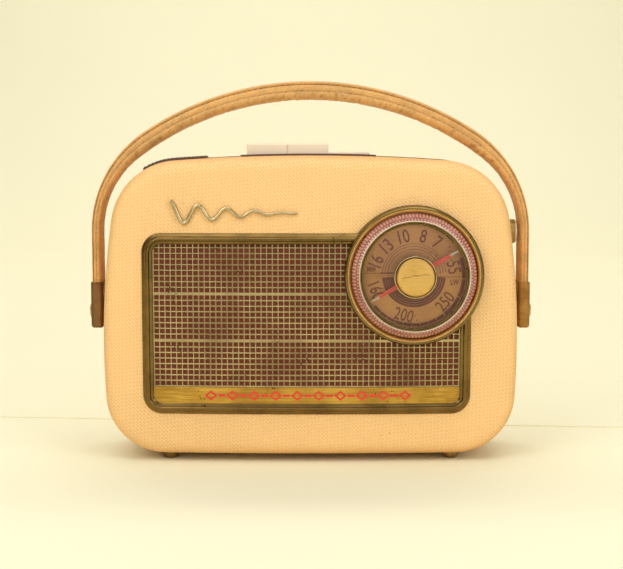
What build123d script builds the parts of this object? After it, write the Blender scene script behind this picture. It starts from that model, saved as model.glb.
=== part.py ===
"""Portable transistor radio with a carrying strap, three top keys, a round tuning dial and a side volume knob.

Millimetres. +X is the listener's right, -Y the front, +Z up. The origin is on the table, under the middle
of the radio. Every piece is one node, written to parts/NODE.step.
"""
from build123d import *
import math
import os

# ---------------------------------------------------------------- driving dimensions
CASE_WIDTH = 265.0          # at the widest height
CASE_WIDEST_Z = 73.0
CASE_BASE_Z = 4.6           # underside of the case, above the table
CASE_TOP_Z = 195.5          # crown of the top arch
CASE_DEPTH = 90.0
SIDE_BOW_R = 580.0          # the sides are shallow arcs
TOP_ARCH_R = 1200.0
TOP_CORNER_R = 44.0
BOTTOM_CORNER_R = 38.0
CROWN_R = 1300.0            # front and back are parts of a large sphere
FRONT_EDGE_R = 9.0
REAR_EDGE_R = 12.0
WALL = 4.0
GAP = 0.3                   # general clearance between pieces
SLIP = 0.05                 # radial clearance of a running fit

KNOB_PROUD = 15.5           # knob cap in front of the case's front crown
FRONT_Y = (KNOB_PROUD - CASE_DEPTH) / 2   # front crown, so that the whole depth is centred on y = 0
REAR_Y = FRONT_Y + CASE_DEPTH
SEAM_Y = FRONT_Y + 55.0     # rear edge of the front shell
TRIM_W = 3.0                # brass band between the shells
TRIM_PROUD = 0.9
COVER_Y = SEAM_Y + TRIM_W
COVER_GAP = 0.15            # between the band and the rear cover
SPIGOT_IN, SPIGOT_OUT = 4.0, 6.0    # the lip that centres the rear cover, in front of and behind the seam
SPIGOT_T = 2.0
CASE_MID_Z = (CASE_BASE_Z + CASE_TOP_Z) / 2

GRILLE_X, GRILLE_Z = -2.4, 89.4                       # centre of the grille field
GRILLE_W, GRILLE_H, GRILLE_R = 200.0, 107.0, 8.0      # opening in the front shell
BEZEL_W, BEZEL_H, BEZEL_R = 208.0, 115.0, 12.0
BEZEL_IN_W, BEZEL_IN_H, BEZEL_IN_R = 196.0, 103.0, 6.0
BEZEL_PROUD = 3.2
PANEL_TOP, PANEL_T = 0.3, 0.8       # the grille sheet's depth under the case surface, and its thickness
CLOTH_TOP, CLOTH_T = 1.2, 0.4

EMBLEM_X, EMBLEM_Z, EMBLEM_L = -88.0, 159.5, 80.0
EMBLEM_SWING, EMBLEM_WAVES = 7.5, 4.5
EMBLEM_W, EMBLEM_PROUD = 1.8, 1.8

DIAL_X, DIAL_Z = 65.0, 120.4
DIAL_RING_R = 43.8
DIAL_CUP_R = 40.0           # inside of the ring
DIAL_HOLE_R = DIAL_RING_R + GAP
DIAL_RING_FRONT = -4.5      # depths on the dial are measured back from the front crown
DIAL_RING_BACK = 9.5
PLATE_FRONT, PLATE_T = 1.0, 1.0
KNOB_R = 39.3
KNOB_LIP_R = 34.0
KNOB_HUB_R = 13.0
CAP_R = 11.7
SHAFT_R = 3.0
POINTER_ANGLE = 32.0        # above the horizontal, at rest
POINTER_REACH = 31.0

BOARD_Y = FRONT_Y + 12.0    # baffle board: flange from here back
BOARD_T = 3.0
BOARD_W, BOARD_H = 234.0, 126.0
BOARD_Z = 95.0
SPEAKER_X, SPEAKER_Z = -46.0, 97.0
SPEAKER_R = 48.0
SPEAKER_HOLE_R = 40.0

KEYS_X = -1.4               # middle of the key bank
KEY_PITCH = 26.2
KEY_W = 25.7
KEY_D = 17.0
KEYS_Y = FRONT_Y + 27.0
KEY_UP_Z = 203.1            # top of a raised key
KEY_TRAVEL = 5.2
KEY_BODY_H = 17.0
ESCUTCHEON_W, ESCUTCHEON_D = 85.6, 26.0
SWITCH_TOP_Z = 174.0
SWITCH_H = 26.0

PIVOT_Y = FRONT_Y + 44.0
PIVOT_Z = 93.8
BUSH_R = 4.0
STRAP_IN_X = 136.6          # inner face of the strap's straight ends
STRAP_OUT_X = 143.0
STRAP_IN_TOP_Z = 231.7
STRAP_OUT_TOP_Z = 243.6
STRAP_IN_R, STRAP_IN_SHOULDER_R = 188.0, 60.0
STRAP_OUT_R, STRAP_OUT_SHOULDER_R = 196.0, 78.5
STRAP_W = 20.0
FERRULE_BOTTOM_Z, FERRULE_TOP_Z = 83.0, 113.0
FERRULE_WALL = 0.8

VOLUME_Z = 146.0
VOLUME_Y = PIVOT_Y
VOLUME_KNOB_R = 8.0
VOLUME_OUT_X = 135.2

FOOT_X = 91.0
FRONT_FOOT_Y = FRONT_Y + 21.5
REAR_FOOT_Y = FRONT_Y + 66.0
FOOT_R = 5.6
FOOT_PEG_R = 2.0

CELL_R, CELL_L = 13.1, 50.0
TRAY_WALL = 1.5
TRAY_L, TRAY_D, TRAY_H = 2 * CELL_L + 14.0, 4 * CELL_R + 6.0, 24.0
TRAY_X, TRAY_Y, TRAY_Z = -30.0, FRONT_Y + 47.0, CASE_BASE_Z + WALL + SPIGOT_T + 0.2

COVER_POST_X, COVER_POST_Z = 104.0, 95.0
PCB_Y = FRONT_Y + 64.0
PCB_T = 1.6
ROD_Y, ROD_Z, ROD_R = FRONT_Y + 44.0, 178.0, 5.0

BOSSES = [(x, z) for x in (-111.0, 111.0) for z in (38.0, 152.0)]
PILLARS = [(x, z) for x in (14.0, 92.0) for z in (64.0, 143.0)]
SPEAKER_HOLES = [(SPEAKER_X + x, SPEAKER_Z + z) for x in (-31.5, 31.5) for z in (-31.5, 31.5)]

parts = {}


# ---------------------------------------------------------------- shared shapes
def prism(face, y_from, y_to):
    """A front-view face (drawn in X and Z) made solid between two depths."""
    return Pos(0, y_from, 0) * extrude(Plane.XZ * face, amount=y_from - y_to)


def block(x, y, z, width, depth, height):
    """A box centred on x, y, z."""
    return Pos(x, y, z) * Box(width, depth, height)


def rod_y(x, z, radius, y_from, y_to):
    """A cylinder along Y."""
    return Pos(x, (y_from + y_to) / 2, z) * Rot(90, 0, 0) * Cylinder(radius, y_to - y_from)


def rod_x(y, z, radius, x_from, x_to):
    """A cylinder along X."""
    return Pos((x_from + x_to) / 2, y, z) * Rot(0, 90, 0) * Cylinder(radius, x_to - x_from)


def rod_z(x, y, radius, z_from, z_to):
    """A cylinder along Z."""
    return Pos(x, y, (z_from + z_to) / 2) * Cylinder(radius, z_to - z_from)


def turned_y(points, x, z):
    """A turned piece about a Y axis. points are (radius, y)."""
    profile = make_face(Polyline(*[(r, y) for r, y in points], close=True))
    return Pos(x, 0, z) * revolve(profile, Axis.Y)


def outline(inset=0.0):
    """The case's front-view outline, shrunk evenly by inset."""
    half = CASE_WIDTH / 2
    side = SIDE_BOW_R - inset
    face = Pos(0, CASE_TOP_Z - TOP_ARCH_R) * Circle(TOP_ARCH_R - inset)
    face &= Pos(half - SIDE_BOW_R, CASE_WIDEST_Z) * Circle(side)
    face &= Pos(SIDE_BOW_R - half, CASE_WIDEST_Z) * Circle(side)
    tall = 2 * CASE_WIDTH
    face &= Pos(0, CASE_BASE_Z + inset + tall / 2) * Rectangle(tall, tall)
    corners = face.vertices().sort_by(Axis.Y)
    face = fillet(corners[-2:], TOP_CORNER_R - inset)
    corners = [v for v in face.vertices() if abs(v.Y - CASE_BASE_Z - inset) < 1.0]
    return fillet(corners, BOTTOM_CORNER_R - inset)


def front_ball(inset=0.0):
    """The sphere whose surface is the case's front, moved in by inset."""
    return Pos(0, FRONT_Y + CROWN_R, CASE_MID_Z) * Sphere(CROWN_R - inset)


def rear_ball(inset=0.0):
    """The sphere whose surface is the case's back, moved in by inset."""
    return Pos(0, REAR_Y - CROWN_R, CASE_MID_Z) * Sphere(CROWN_R - inset)


def crowned_slab(face, top, bottom):
    """A front-view face as a curved sheet between two depths under the front surface."""
    return (prism(face, FRONT_Y - 20, FRONT_Y + 30) & front_ball(top)) - front_ball(bottom)


def rounded(width, height, radius, x=0.0, z=0.0):
    """A rounded rectangle in the front view."""
    return Pos(x, z) * RectangleRounded(width, height, radius)


def dial_disc(radius):
    """A circle in the front view, centred on the dial."""
    return Pos(DIAL_X, DIAL_Z) * Circle(radius)


def crown_sag(x, z):
    """How far the front surface lies behind its crown at x, z."""
    return CROWN_R - math.sqrt(CROWN_R ** 2 - x ** 2 - (z - CASE_MID_Z) ** 2)


def side_x(z, inset=0.0):
    """Half width of the case at a height between its corners."""
    return CASE_WIDTH / 2 - SIDE_BOW_R + math.sqrt((SIDE_BOW_R - inset) ** 2 - (z - CASE_WIDEST_Z) ** 2)


def screw(x, z, y_head, length):
    """A pan-head screw along Y. Its head starts at y_head, and the shank runs towards the front."""
    head = turned_y([(0, 0), (2.8, 0), (2.8, 1.0), (2.0, 1.9), (0, 1.9)], x, z)
    head -= block(x, 1.9, z, 4.2, 1.2, 0.8)
    shank = rod_y(x, z, 1.5, -length, 0.2)
    return Pos(0, y_head, 0) * (head + shank)


# ---------------------------------------------------------------- case
def foot_holes(y):
    """Holes for one pair of foot pegs."""
    return rod_z(-FOOT_X, y, FOOT_PEG_R + SLIP, 0, 16) + rod_z(FOOT_X, y, FOOT_PEG_R + SLIP, 0, 16)


def case_openings():
    """Everything that goes through the front shell's walls."""
    field = rounded(GRILLE_W, GRILLE_H, GRILLE_R, GRILLE_X, GRILLE_Z) + dial_disc(DIAL_HOLE_R)
    cut = prism(field, FRONT_Y - 20, FRONT_Y + 11.5)
    cut += block(KEYS_X, KEYS_Y, CASE_TOP_Z, ESCUTCHEON_W - 4, ESCUTCHEON_D - 4, 24)
    for side in (-1, 1):
        cut += rod_x(PIVOT_Y, PIVOT_Z, BUSH_R + GAP, side * 126 - 8, side * 126 + 8)
    cut += foot_holes(FRONT_FOOT_Y)
    cut += rod_x(VOLUME_Y, VOLUME_Z, BUSH_R + GAP, 110, 134)
    return cut


def make_front_shell():
    """The front half of the case, with bosses for the baffle board and a lip for the rear cover."""
    outer = prism(outline(), FRONT_Y - 20, SEAM_Y) & front_ball()
    front_edges = [e for e in outer.edges() if e.bounding_box().max.Y < SEAM_Y - 25]
    outer = fillet(front_edges, FRONT_EDGE_R)
    inner = prism(outline(WALL), FRONT_Y - 20, SEAM_Y + 1) & front_ball(WALL)
    shell = outer - inner
    lip = prism(outline(WALL), SEAM_Y - SPIGOT_IN, COVER_Y + SPIGOT_OUT)
    lip -= prism(outline(WALL + SPIGOT_T), SEAM_Y - SPIGOT_IN - 1, COVER_Y + SPIGOT_OUT + 1)
    shell += lip
    for x, z in BOSSES:
        shell += rod_y(x, z, 4.5, FRONT_Y + crown_sag(x, z) + 2, BOARD_Y)
    for x, z in BOSSES:
        shell -= rod_y(x, z, 1.5 + SLIP, BOARD_Y - 4.5, BOARD_Y + 1)
    return shell - case_openings()


def make_rear_cover():
    """The removable back, with air slots and recesses for its two turn screws."""
    outer = prism(outline(), COVER_Y + COVER_GAP, REAR_Y + 20) & rear_ball()
    outer = fillet([e for e in outer.edges() if e.bounding_box().min.Y > COVER_Y + 15], REAR_EDGE_R)
    inner = prism(outline(WALL - GAP), COVER_Y - 1, REAR_Y + 20) & rear_ball(WALL)
    inner = fillet([e for e in inner.edges() if e.bounding_box().min.Y > COVER_Y + 12], REAR_EDGE_R - WALL)
    cover = outer - inner - foot_holes(REAR_FOOT_Y)
    for row in range(7):
        for column in (-1, 0, 1):
            slot = Pos(column * 46.0, 74.0 + 9.0 * row) * SlotOverall(38.0, 3.0)
            cover -= prism(slot, REAR_Y - 20, REAR_Y + 5)
    for side in (-1, 1):
        face_y = REAR_Y - crown_sag(COVER_POST_X, COVER_POST_Z)
        cover -= rod_y(side * COVER_POST_X, COVER_POST_Z, 6.3, face_y - 1.8, REAR_Y + 5)
        cover -= rod_y(side * COVER_POST_X, COVER_POST_Z, 2.5 + SLIP, face_y - 8, REAR_Y + 5)
    return cover


def make_trim_band():
    """The brass band in the seam, slightly proud of the case."""
    band = prism(outline(-TRIM_PROUD), SEAM_Y, COVER_Y) - prism(outline(WALL), SEAM_Y - 1, COVER_Y + 1)
    outer_edges = [e for e in band.edges() if e.bounding_box().size.Y < 0.1]
    longest = sorted(outer_edges, key=lambda e: e.bounding_box().max.Z)[-2:]
    return chamfer(longest, 0.3) if longest else band


def make_feet(y):
    """A pair of domed feet, each with a peg into the case."""
    peg_end = CASE_BASE_Z + WALL + 1.5
    dome = [(0, 0), (3.0, 0), (4.5, 0.7), (5.3, 1.9), (FOOT_R, 3.2), (FOOT_R, CASE_BASE_Z)]
    dome += [(FOOT_PEG_R, CASE_BASE_Z), (FOOT_PEG_R, peg_end), (0, peg_end)]
    foot = revolve(make_face(Plane.XZ * Polyline(*dome, close=True)), Axis.Z)
    return [Pos(-FOOT_X, y, 0) * foot, Pos(FOOT_X, y, 0) * foot]


# ---------------------------------------------------------------- grille and baffle
def grille_field():
    """The outline shared by the sheet, the cloth and the front of the baffle board."""
    return rounded(GRILLE_W - 2 * GAP, GRILLE_H - 2 * GAP, GRILLE_R - GAP, GRILLE_X, GRILLE_Z) - dial_disc(DIAL_HOLE_R)


def make_grille_panel():
    """The curved brass sheet behind the frame. Its square punching is finer than this solid shows."""
    return crowned_slab(grille_field(), PANEL_TOP, PANEL_TOP + PANEL_T)


def make_grille_cloth():
    return crowned_slab(grille_field(), CLOTH_TOP, CLOTH_TOP + CLOTH_T)


def make_grille_bezel():
    """The raised brass frame round the grille, ending against the dial ring."""
    ring = rounded(BEZEL_W, BEZEL_H, BEZEL_R, GRILLE_X, GRILLE_Z) - dial_disc(DIAL_HOLE_R)
    ring -= rounded(BEZEL_IN_W, BEZEL_IN_H, BEZEL_IN_R, GRILLE_X, GRILLE_Z)
    return crowned_slab(ring, -BEZEL_PROUD, 0)


def make_baffle_board():
    """Curved in front to carry the cloth and the grille, flat behind, with holes for sound and for the dial."""
    front = crowned_slab(grille_field(), CLOTH_TOP + CLOTH_T + 0.1, 40)
    front &= block(0, BOARD_Y - 10, GRILLE_Z, 300, 20.02, 300)
    board = front + prism(rounded(BOARD_W, BOARD_H, 8, 0, BOARD_Z), BOARD_Y, BOARD_Y + BOARD_T)
    board -= rod_y(SPEAKER_X, SPEAKER_Z, SPEAKER_HOLE_R, FRONT_Y - 5, BOARD_Y + BOARD_T + 1)
    board -= rod_y(DIAL_X, DIAL_Z, 9.0, FRONT_Y - 5, BOARD_Y + BOARD_T + 1)
    for x, z in BOSSES + SPEAKER_HOLES + PILLARS:
        board -= rod_y(x, z, 1.5 + SLIP, BOARD_Y - 1, BOARD_Y + BOARD_T + 1)
    for x in (-COVER_POST_X, COVER_POST_X):
        board -= rod_y(x, COVER_POST_Z, 2.5 + SLIP, BOARD_Y - 1, BOARD_Y + BOARD_T + 1)
    return board


def emblem_point(t):
    """A point of the ornament's centre line, for t from 0 at the left to 1 at the right."""
    swing = EMBLEM_SWING * (1 - t) ** 1.4 * math.cos(EMBLEM_WAVES * 2 * math.pi * t)
    return EMBLEM_X + EMBLEM_L * t, EMBLEM_Z + swing


def make_wave_emblem():
    """A plain ornament: a wave that dies away into a straight line."""
    steps = 48
    points = [emblem_point(i / steps) for i in range(steps + 1)]
    ribbon = Sketch()
    for (x0, z0), (x1, z1) in zip(points, points[1:]):
        angle = math.degrees(math.atan2(z1 - z0, x1 - x0))
        reach = math.hypot(x1 - x0, z1 - z0) + EMBLEM_W
        ribbon += Pos((x0 + x1) / 2, (z0 + z1) / 2) * Rot(0, 0, angle) * SlotOverall(reach, EMBLEM_W)
    return crowned_slab(ribbon, -EMBLEM_PROUD, 0)


# ---------------------------------------------------------------- dial
def depth(y):
    """A depth measured back from the front crown, as a Y."""
    return FRONT_Y + y


def dial_turned(points):
    return turned_y([(r, depth(y)) for r, y in points], DIAL_X, DIAL_Z)


def make_dial_bezel():
    """A brass ring whose floor carries the scale plate."""
    inner, floor = DIAL_CUP_R, PLATE_FRONT + PLATE_T
    return dial_turned([
        (4.5, floor), (inner, floor), (inner, -3.0), (inner + 1.4, DIAL_RING_FRONT),
        (DIAL_RING_R - 1.2, DIAL_RING_FRONT), (DIAL_RING_R, -3.3), (DIAL_RING_R, DIAL_RING_BACK),
        (inner, DIAL_RING_BACK), (inner, floor + 1.5), (4.5, floor + 1.5),
    ])


def make_dial_plate():
    edge = DIAL_CUP_R - 0.2
    return dial_turned([(4.5, PLATE_FRONT), (edge, PLATE_FRONT), (edge, PLATE_FRONT + PLATE_T - 0.02),
                        (4.5, PLATE_FRONT + PLATE_T - 0.02)])


def make_tuning_knob():
    """The clear dial knob: a shallow cone from hub to lip, and a rim to turn it by."""
    return dial_turned([
        (SHAFT_R + SLIP, -12.6), (KNOB_HUB_R, -12.6), (KNOB_HUB_R + 0.6, -11.6), (KNOB_LIP_R - 1.0, -7.4),
        (KNOB_LIP_R, -8.2), (KNOB_LIP_R + 1.0, -8.2), (KNOB_R - 0.6, -3.4), (KNOB_R, -2.6), (KNOB_R, -1.0),
        (KNOB_LIP_R, -1.0), (KNOB_LIP_R - 1.0, -4.2), (KNOB_HUB_R + 0.6, -8.0), (KNOB_HUB_R - 4, -1.2),
        (SHAFT_R + SLIP, -1.2),
    ])


def make_tuning_pointer():
    """A double-ended pointer that reads one band at each tip."""
    blade = make_face(Polyline((0, 2.1), (POINTER_REACH, 0.55), (POINTER_REACH, -0.55), (0, -2.1),
                               (-POINTER_REACH, -0.55), (-POINTER_REACH, 0.55), close=True))
    blade += Circle(6.0)
    blade -= Circle(SHAFT_R + SLIP)
    placed = Pos(DIAL_X, DIAL_Z) * Rot(0, 0, POINTER_ANGLE) * blade
    return prism(placed, depth(-0.9), depth(-0.1))


def make_knob_cap():
    return dial_turned([(0, -KNOB_PROUD), (CAP_R - 3.5, -KNOB_PROUD + 0.15), (CAP_R - 0.6, -KNOB_PROUD + 0.6),
                        (CAP_R, -KNOB_PROUD + 1.2), (CAP_R, -12.7), (0, -12.7)])


def make_tuning_shaft():
    return rod_y(DIAL_X, DIAL_Z, SHAFT_R, depth(-12.5), depth(58))


CAP_FRONT, CAP_PITCH, PLATES = 25.0, 4.4, 6


def make_capacitor_frame():
    """Two end plates joined by side strips, with a bush for the shaft."""
    frame = None
    for y in (22.0, 54.0):
        end = block(DIAL_X, depth(y), DIAL_Z, 44, 1.5, 44)
        end -= rod_y(DIAL_X, DIAL_Z, SHAFT_R + SLIP, depth(y - 2), depth(y + 2))
        frame = end if frame is None else frame + end
    for x in (-21.5, 21.5):
        frame += block(DIAL_X + x, depth(38), DIAL_Z - 15, 1.0, 33.4, 12)
    for x, z in ((-18, 18), (18, 18)):
        frame += rod_y(DIAL_X + x, DIAL_Z + z, 2.5, BOARD_Y + BOARD_T, depth(21.3))
    return frame


def make_capacitor_stator():
    """Fixed plates below the shaft, held by two rods."""
    stator = None
    for i in range(PLATES):
        y = depth(CAP_FRONT + CAP_PITCH * i)
        plate = Pos(DIAL_X, DIAL_Z) * (Circle(19) - Circle(6)) & Pos(DIAL_X, DIAL_Z - 10.5) * Rectangle(60, 20)
        solid = prism(plate, y, y + 0.8)
        stator = solid if stator is None else stator + solid
    for x in (-17.6, 17.6):
        stator += rod_y(DIAL_X + x, DIAL_Z - 5, 1.2, depth(22.75), depth(53.25))
    return stator


def make_capacitor_rotor():
    """Half-round plates on a sleeve, meshing between the fixed ones."""
    rotor = rod_y(DIAL_X, DIAL_Z, 5.0, depth(25), depth(52))
    rotor -= rod_y(DIAL_X, DIAL_Z, SHAFT_R, depth(20), depth(60))
    half = (Circle(15.5) - Circle(4.5)) & Pos(0, 10) * Rectangle(60, 20)
    for i in range(PLATES - 1):
        y = depth(CAP_FRONT + CAP_PITCH * i + 2.2)
        plate = Pos(DIAL_X, DIAL_Z) * Rot(0, 0, POINTER_ANGLE - 90) * half
        rotor += prism(plate, y, y + 0.8)
    return rotor


# ---------------------------------------------------------------- loudspeaker
def speaker_turned(points):
    return turned_y([(r, depth(y)) for r, y in points], SPEAKER_X, SPEAKER_Z)


def make_speaker_frame():
    """The steel basket, with four windows between its arms."""
    basket = speaker_turned([
        (39.5, 15.0), (SPEAKER_R, 15.0), (SPEAKER_R, 16.4), (41.5, 16.4), (38.0, 26.0), (24.0, 42.0), (24.0, 43.4),
        (14.0, 43.4), (14.0, 42.0), (22.6, 42.0), (36.4, 25.6), (39.5, 16.4),
    ])
    for a in (0, 90, 180, 270):
        window = Pos(SPEAKER_X, depth(31), SPEAKER_Z) * Rot(0, a, 0) * Pos(30, 0, 0) * Box(24, 13, 24)
        basket -= window
    for x, z in SPEAKER_HOLES:
        basket -= rod_y(x, z, 1.5 + SLIP, depth(14), depth(18))
    return basket


def make_speaker_cone():
    return speaker_turned([
        (0, 33.0), (6.0, 33.6), (9.5, 36.2), (12.5, 36.2), (34.5, 19.0), (36.4, 17.6), (38.85, 17.6), (38.85, 18.2),
        (36.6, 18.2), (34.8, 19.9), (12.8, 37.2), (9.2, 37.2), (5.8, 34.6), (0, 34.0),
    ])


def make_speaker_magnet():
    return speaker_turned([(0, 43.4), (21, 43.4), (21, 46), (17.5, 46), (17.5, 55), (21, 55), (21, 57.5), (0, 57.5)])


# ---------------------------------------------------------------- electronics
def make_circuit_board():
    board = block(53.0, PCB_Y + PCB_T / 2, 108.0, 88.0, PCB_T, 98.0)
    for x, z in PILLARS:
        board -= rod_y(x, z, 1.5 + SLIP, PCB_Y - 1, PCB_Y + PCB_T + 1)
    return board


def make_if_cans():
    """Three screened intermediate-frequency transformers."""
    back = PCB_Y + PCB_T
    cans = []
    for z in (80.0, 100.0, 120.0):
        can = block(28.0, back + 7.5, z, 12, 15, 12)
        can = fillet(can.edges().filter_by(Axis.Y), 1.0)
        cans.append(can - rod_y(28.0, z, 2.0, back + 13, back + 16))
    return cans


def make_transistors():
    back = PCB_Y + PCB_T
    places = [(46, 78), (46, 98), (46, 118), (62, 88), (62, 108), (80, 96), (80, 112)]
    shape = [(0, 0), (4.2, 0), (4.2, 1.2), (3.5, 1.2), (3.5, 6.4), (2.6, 7.4), (0, 7.4)]
    return [turned_y([(r, back + y) for r, y in shape], x, z) for x, z in places]


def make_electrolytics():
    back = PCB_Y + PCB_T
    return [rod_x(back + 5.2, z, 5.0, 60.0, 82.0) for z in (70.0, 130.0, 142.0)]


def make_transformers():
    """Driver and output transformers: a core with a wound bobbin."""
    back = PCB_Y + PCB_T
    made = []
    for z in (134.0, 148.0):
        core = block(36.0, back + 8.0, z, 20, 16, 5)
        core += block(36.0, back + 8.0, z, 12, 13, 11)
        made.append(core)
    return made


def make_board_pillars():
    pillars = []
    for x, z in PILLARS:
        pillar = prism(Pos(x, z) * RegularPolygon(3.6, 6), BOARD_Y + BOARD_T, PCB_Y)
        pillar -= rod_y(x, z, 1.5 + SLIP, PCB_Y - 7, PCB_Y + 1)
        pillars.append(pillar + rod_y(x, z, 1.5, BOARD_Y, BOARD_Y + BOARD_T + 0.5))
    return pillars


def make_chassis_screws():
    """Identical pan-head screws: four hold the board, four the speaker and four the circuit board."""
    made = [screw(x, z, BOARD_Y + BOARD_T, 7.0) for x, z in BOSSES]
    made += [screw(x, z, depth(16.4), 4.2) for x, z in SPEAKER_HOLES]
    made += [screw(x, z, PCB_Y + PCB_T, 7.0) for x, z in PILLARS]
    return made


def make_ferrite_rod():
    """The aerial rod under the roof of the front shell."""
    return rod_x(ROD_Y, ROD_Z, ROD_R, -84, 76)


def make_aerial_coils():
    """Two windings on the ferrite rod."""
    made = []
    for x in (-76, 46):
        coil = rod_x(ROD_Y, ROD_Z, ROD_R + 1.6, x, x + 24)
        made.append(coil - rod_x(ROD_Y, ROD_Z, ROD_R + SLIP, x - 1, x + 25))
    return made


def make_rod_holders():
    """Two clips that hang the rod from the roof of the case."""
    holders = []
    for x in (-46.0, 38.0):
        arm = block(x, ROD_Y, ROD_Z + 10, 5, 8, 20) & prism(outline(WALL), FRONT_Y, SEAM_Y)
        ring = rod_x(ROD_Y, ROD_Z, ROD_R + 2.2, x - 2.5, x + 2.5)
        holders.append(arm + ring - rod_x(ROD_Y, ROD_Z, ROD_R + SLIP, x - 4, x + 4))
    return holders


# ---------------------------------------------------------------- battery
def cell_axis(row):
    """Y and Z of a row of cells."""
    return TRAY_Y + row * (CELL_R + 0.8), TRAY_Z + TRAY_WALL + CELL_R + 0.1


def make_battery_tray():
    """An open tray for two rows of round cells, with a rib between the rows."""
    middle = TRAY_Z + TRAY_H / 2
    tray = block(TRAY_X, TRAY_Y, middle, TRAY_L, TRAY_D, TRAY_H)
    tray -= block(TRAY_X, TRAY_Y, middle + TRAY_WALL, TRAY_L - 2 * TRAY_WALL, TRAY_D - 2 * TRAY_WALL, TRAY_H)
    rib = block(TRAY_X, TRAY_Y, TRAY_Z + 4, TRAY_L, 1.2, 8)
    foot = block(TRAY_X, TRAY_Y - 12, TRAY_Z - 0.1 - SPIGOT_T / 2, TRAY_L, 24, SPIGOT_T + 0.2)
    return tray + rib + foot


def make_battery_cells():
    """Four round cells, two in each row."""
    cells = []
    for row in (-1, 1):
        y, z = cell_axis(row)
        for x in (TRAY_X - CELL_L, TRAY_X + 0.2):
            cells.append(rod_x(y, z, CELL_R, x, x + CELL_L - 2) + rod_x(y, z, 3.5, x + CELL_L - 2, x + CELL_L))
    return cells


def make_battery_contacts():
    """A sprung strip at each end of each row."""
    made = []
    reach = TRAY_L / 2 - TRAY_WALL
    for row in (-1, 1):
        y, z = cell_axis(row)
        for side in (-1, 1):
            plate = block(TRAY_X + side * (reach - 0.25), y, z - 2, 0.5, 16, 18)
            middle = (reach + CELL_L + 0.2) / 2
            bump = (reach - CELL_L - 0.4) / 2
            made.append(plate + rod_x(y, z, 4.5, TRAY_X + side * middle - bump, TRAY_X + side * middle + bump))
    return made


# ---------------------------------------------------------------- keys and switch
def key_x(i):
    return KEYS_X + (i - 1) * KEY_PITCH


def key_top(i):
    """The right-hand key is latched down at rest."""
    return KEY_UP_Z - (KEY_TRAVEL if i == 2 else 0.0)


def make_escutcheon():
    """The brown frame round the keys, following the arched top."""
    span = Pos(KEYS_X, CASE_TOP_Z) * Rectangle(ESCUTCHEON_W, 16)
    flange = prism((outline(-1.2) - outline(-0.02)) & span, KEYS_Y - ESCUTCHEON_D / 2, KEYS_Y + ESCUTCHEON_D / 2)
    inner = Pos(KEYS_X, CASE_TOP_Z) * Rectangle(ESCUTCHEON_W - 4 - 2 * GAP, 16)
    plug_d = ESCUTCHEON_D / 2 - 2 - GAP
    plug = prism((outline(-0.5) - outline(WALL)) & inner, KEYS_Y - plug_d, KEYS_Y + plug_d)
    well = block(KEYS_X, KEYS_Y, CASE_TOP_Z, 3 * KEY_PITCH + 0.6, KEY_D + 0.8, 30)
    return flange + plug - well


def make_key_cap(i):
    top = key_top(i)
    cap = block(key_x(i), KEYS_Y, top - KEY_BODY_H / 2, KEY_W, KEY_D, KEY_BODY_H)
    cap = fillet(cap.edges().filter_by(Axis.Z), 0.7)
    cap = fillet(cap.faces().sort_by(Axis.Z)[-1].edges(), 1.1)
    return cap - block(key_x(i), KEYS_Y, top - KEY_BODY_H + 3.0, 6.2, 3.2, 6.4)


def make_key_plunger(i):
    """The steel blade under a key, with a crosspiece that works the switch contacts."""
    top = key_top(i) - KEY_BODY_H + 6.0
    blade = block(key_x(i), KEYS_Y, top - 21, 6.0, 3.0, 42)
    return blade + block(key_x(i), KEYS_Y, top - 26, 12.0, 3.0, 4.0)


def make_key_spring(i):
    """A coil spring between the switch frame and the key."""
    low, high = SWITCH_TOP_Z + 0.45, key_top(i) - KEY_BODY_H - 0.45
    turns = 4.5
    path = Helix(pitch=(high - low) / turns, height=high - low, radius=5.0)
    start = path.position_at(0)
    wire = sweep(Plane(origin=start, z_dir=path.tangent_at(0)) * Circle(0.4), path=path)
    return Pos(key_x(i), KEYS_Y, low) * wire


def make_switch_frame():
    """A folded steel box under the keys, hung from the baffle board."""
    width = 3 * KEY_PITCH + 4
    z = SWITCH_TOP_Z - SWITCH_H / 2
    frame = block(KEYS_X, KEYS_Y, z, width, 18, SWITCH_H) - block(KEYS_X, KEYS_Y, z, width + 2, 16, SWITCH_H - 2)
    for i in range(3):
        frame -= block(key_x(i), KEYS_Y, z, 6.6, 3.6, SWITCH_H + 2)
    return frame + block(KEYS_X, BOARD_Y + BOARD_T + 1.75, SWITCH_TOP_Z - 19, 60, 3.5, 6)


def make_switch_contacts():
    """Two insulating strips that carry the contact springs."""
    middle = SWITCH_TOP_Z - SWITCH_H / 2
    return [block(KEYS_X, KEYS_Y + side * 7.2, middle, 3 * KEY_PITCH, 1.6, 16) for side in (-1, 1)]


# ---------------------------------------------------------------- volume control
def make_volume_pot():
    inner = side_x(VOLUME_Z, WALL)
    can = rod_x(VOLUME_Y, VOLUME_Z, 10.0, inner - 15.0, inner - 4.0)
    bush = rod_x(VOLUME_Y, VOLUME_Z, BUSH_R, inner - 4.5, inner + WALL - 1.0)
    lug = block(inner - 12, VOLUME_Y, VOLUME_Z - 11, 1.5, 10, 5)
    return can + bush + lug - rod_x(VOLUME_Y, VOLUME_Z, 1.6 + SLIP, inner - 15, inner + 10)


def make_volume_shaft():
    inner = side_x(VOLUME_Z, WALL)
    return rod_x(VOLUME_Y, VOLUME_Z, 1.6, inner - 12.0, VOLUME_OUT_X - 2.2)


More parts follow.
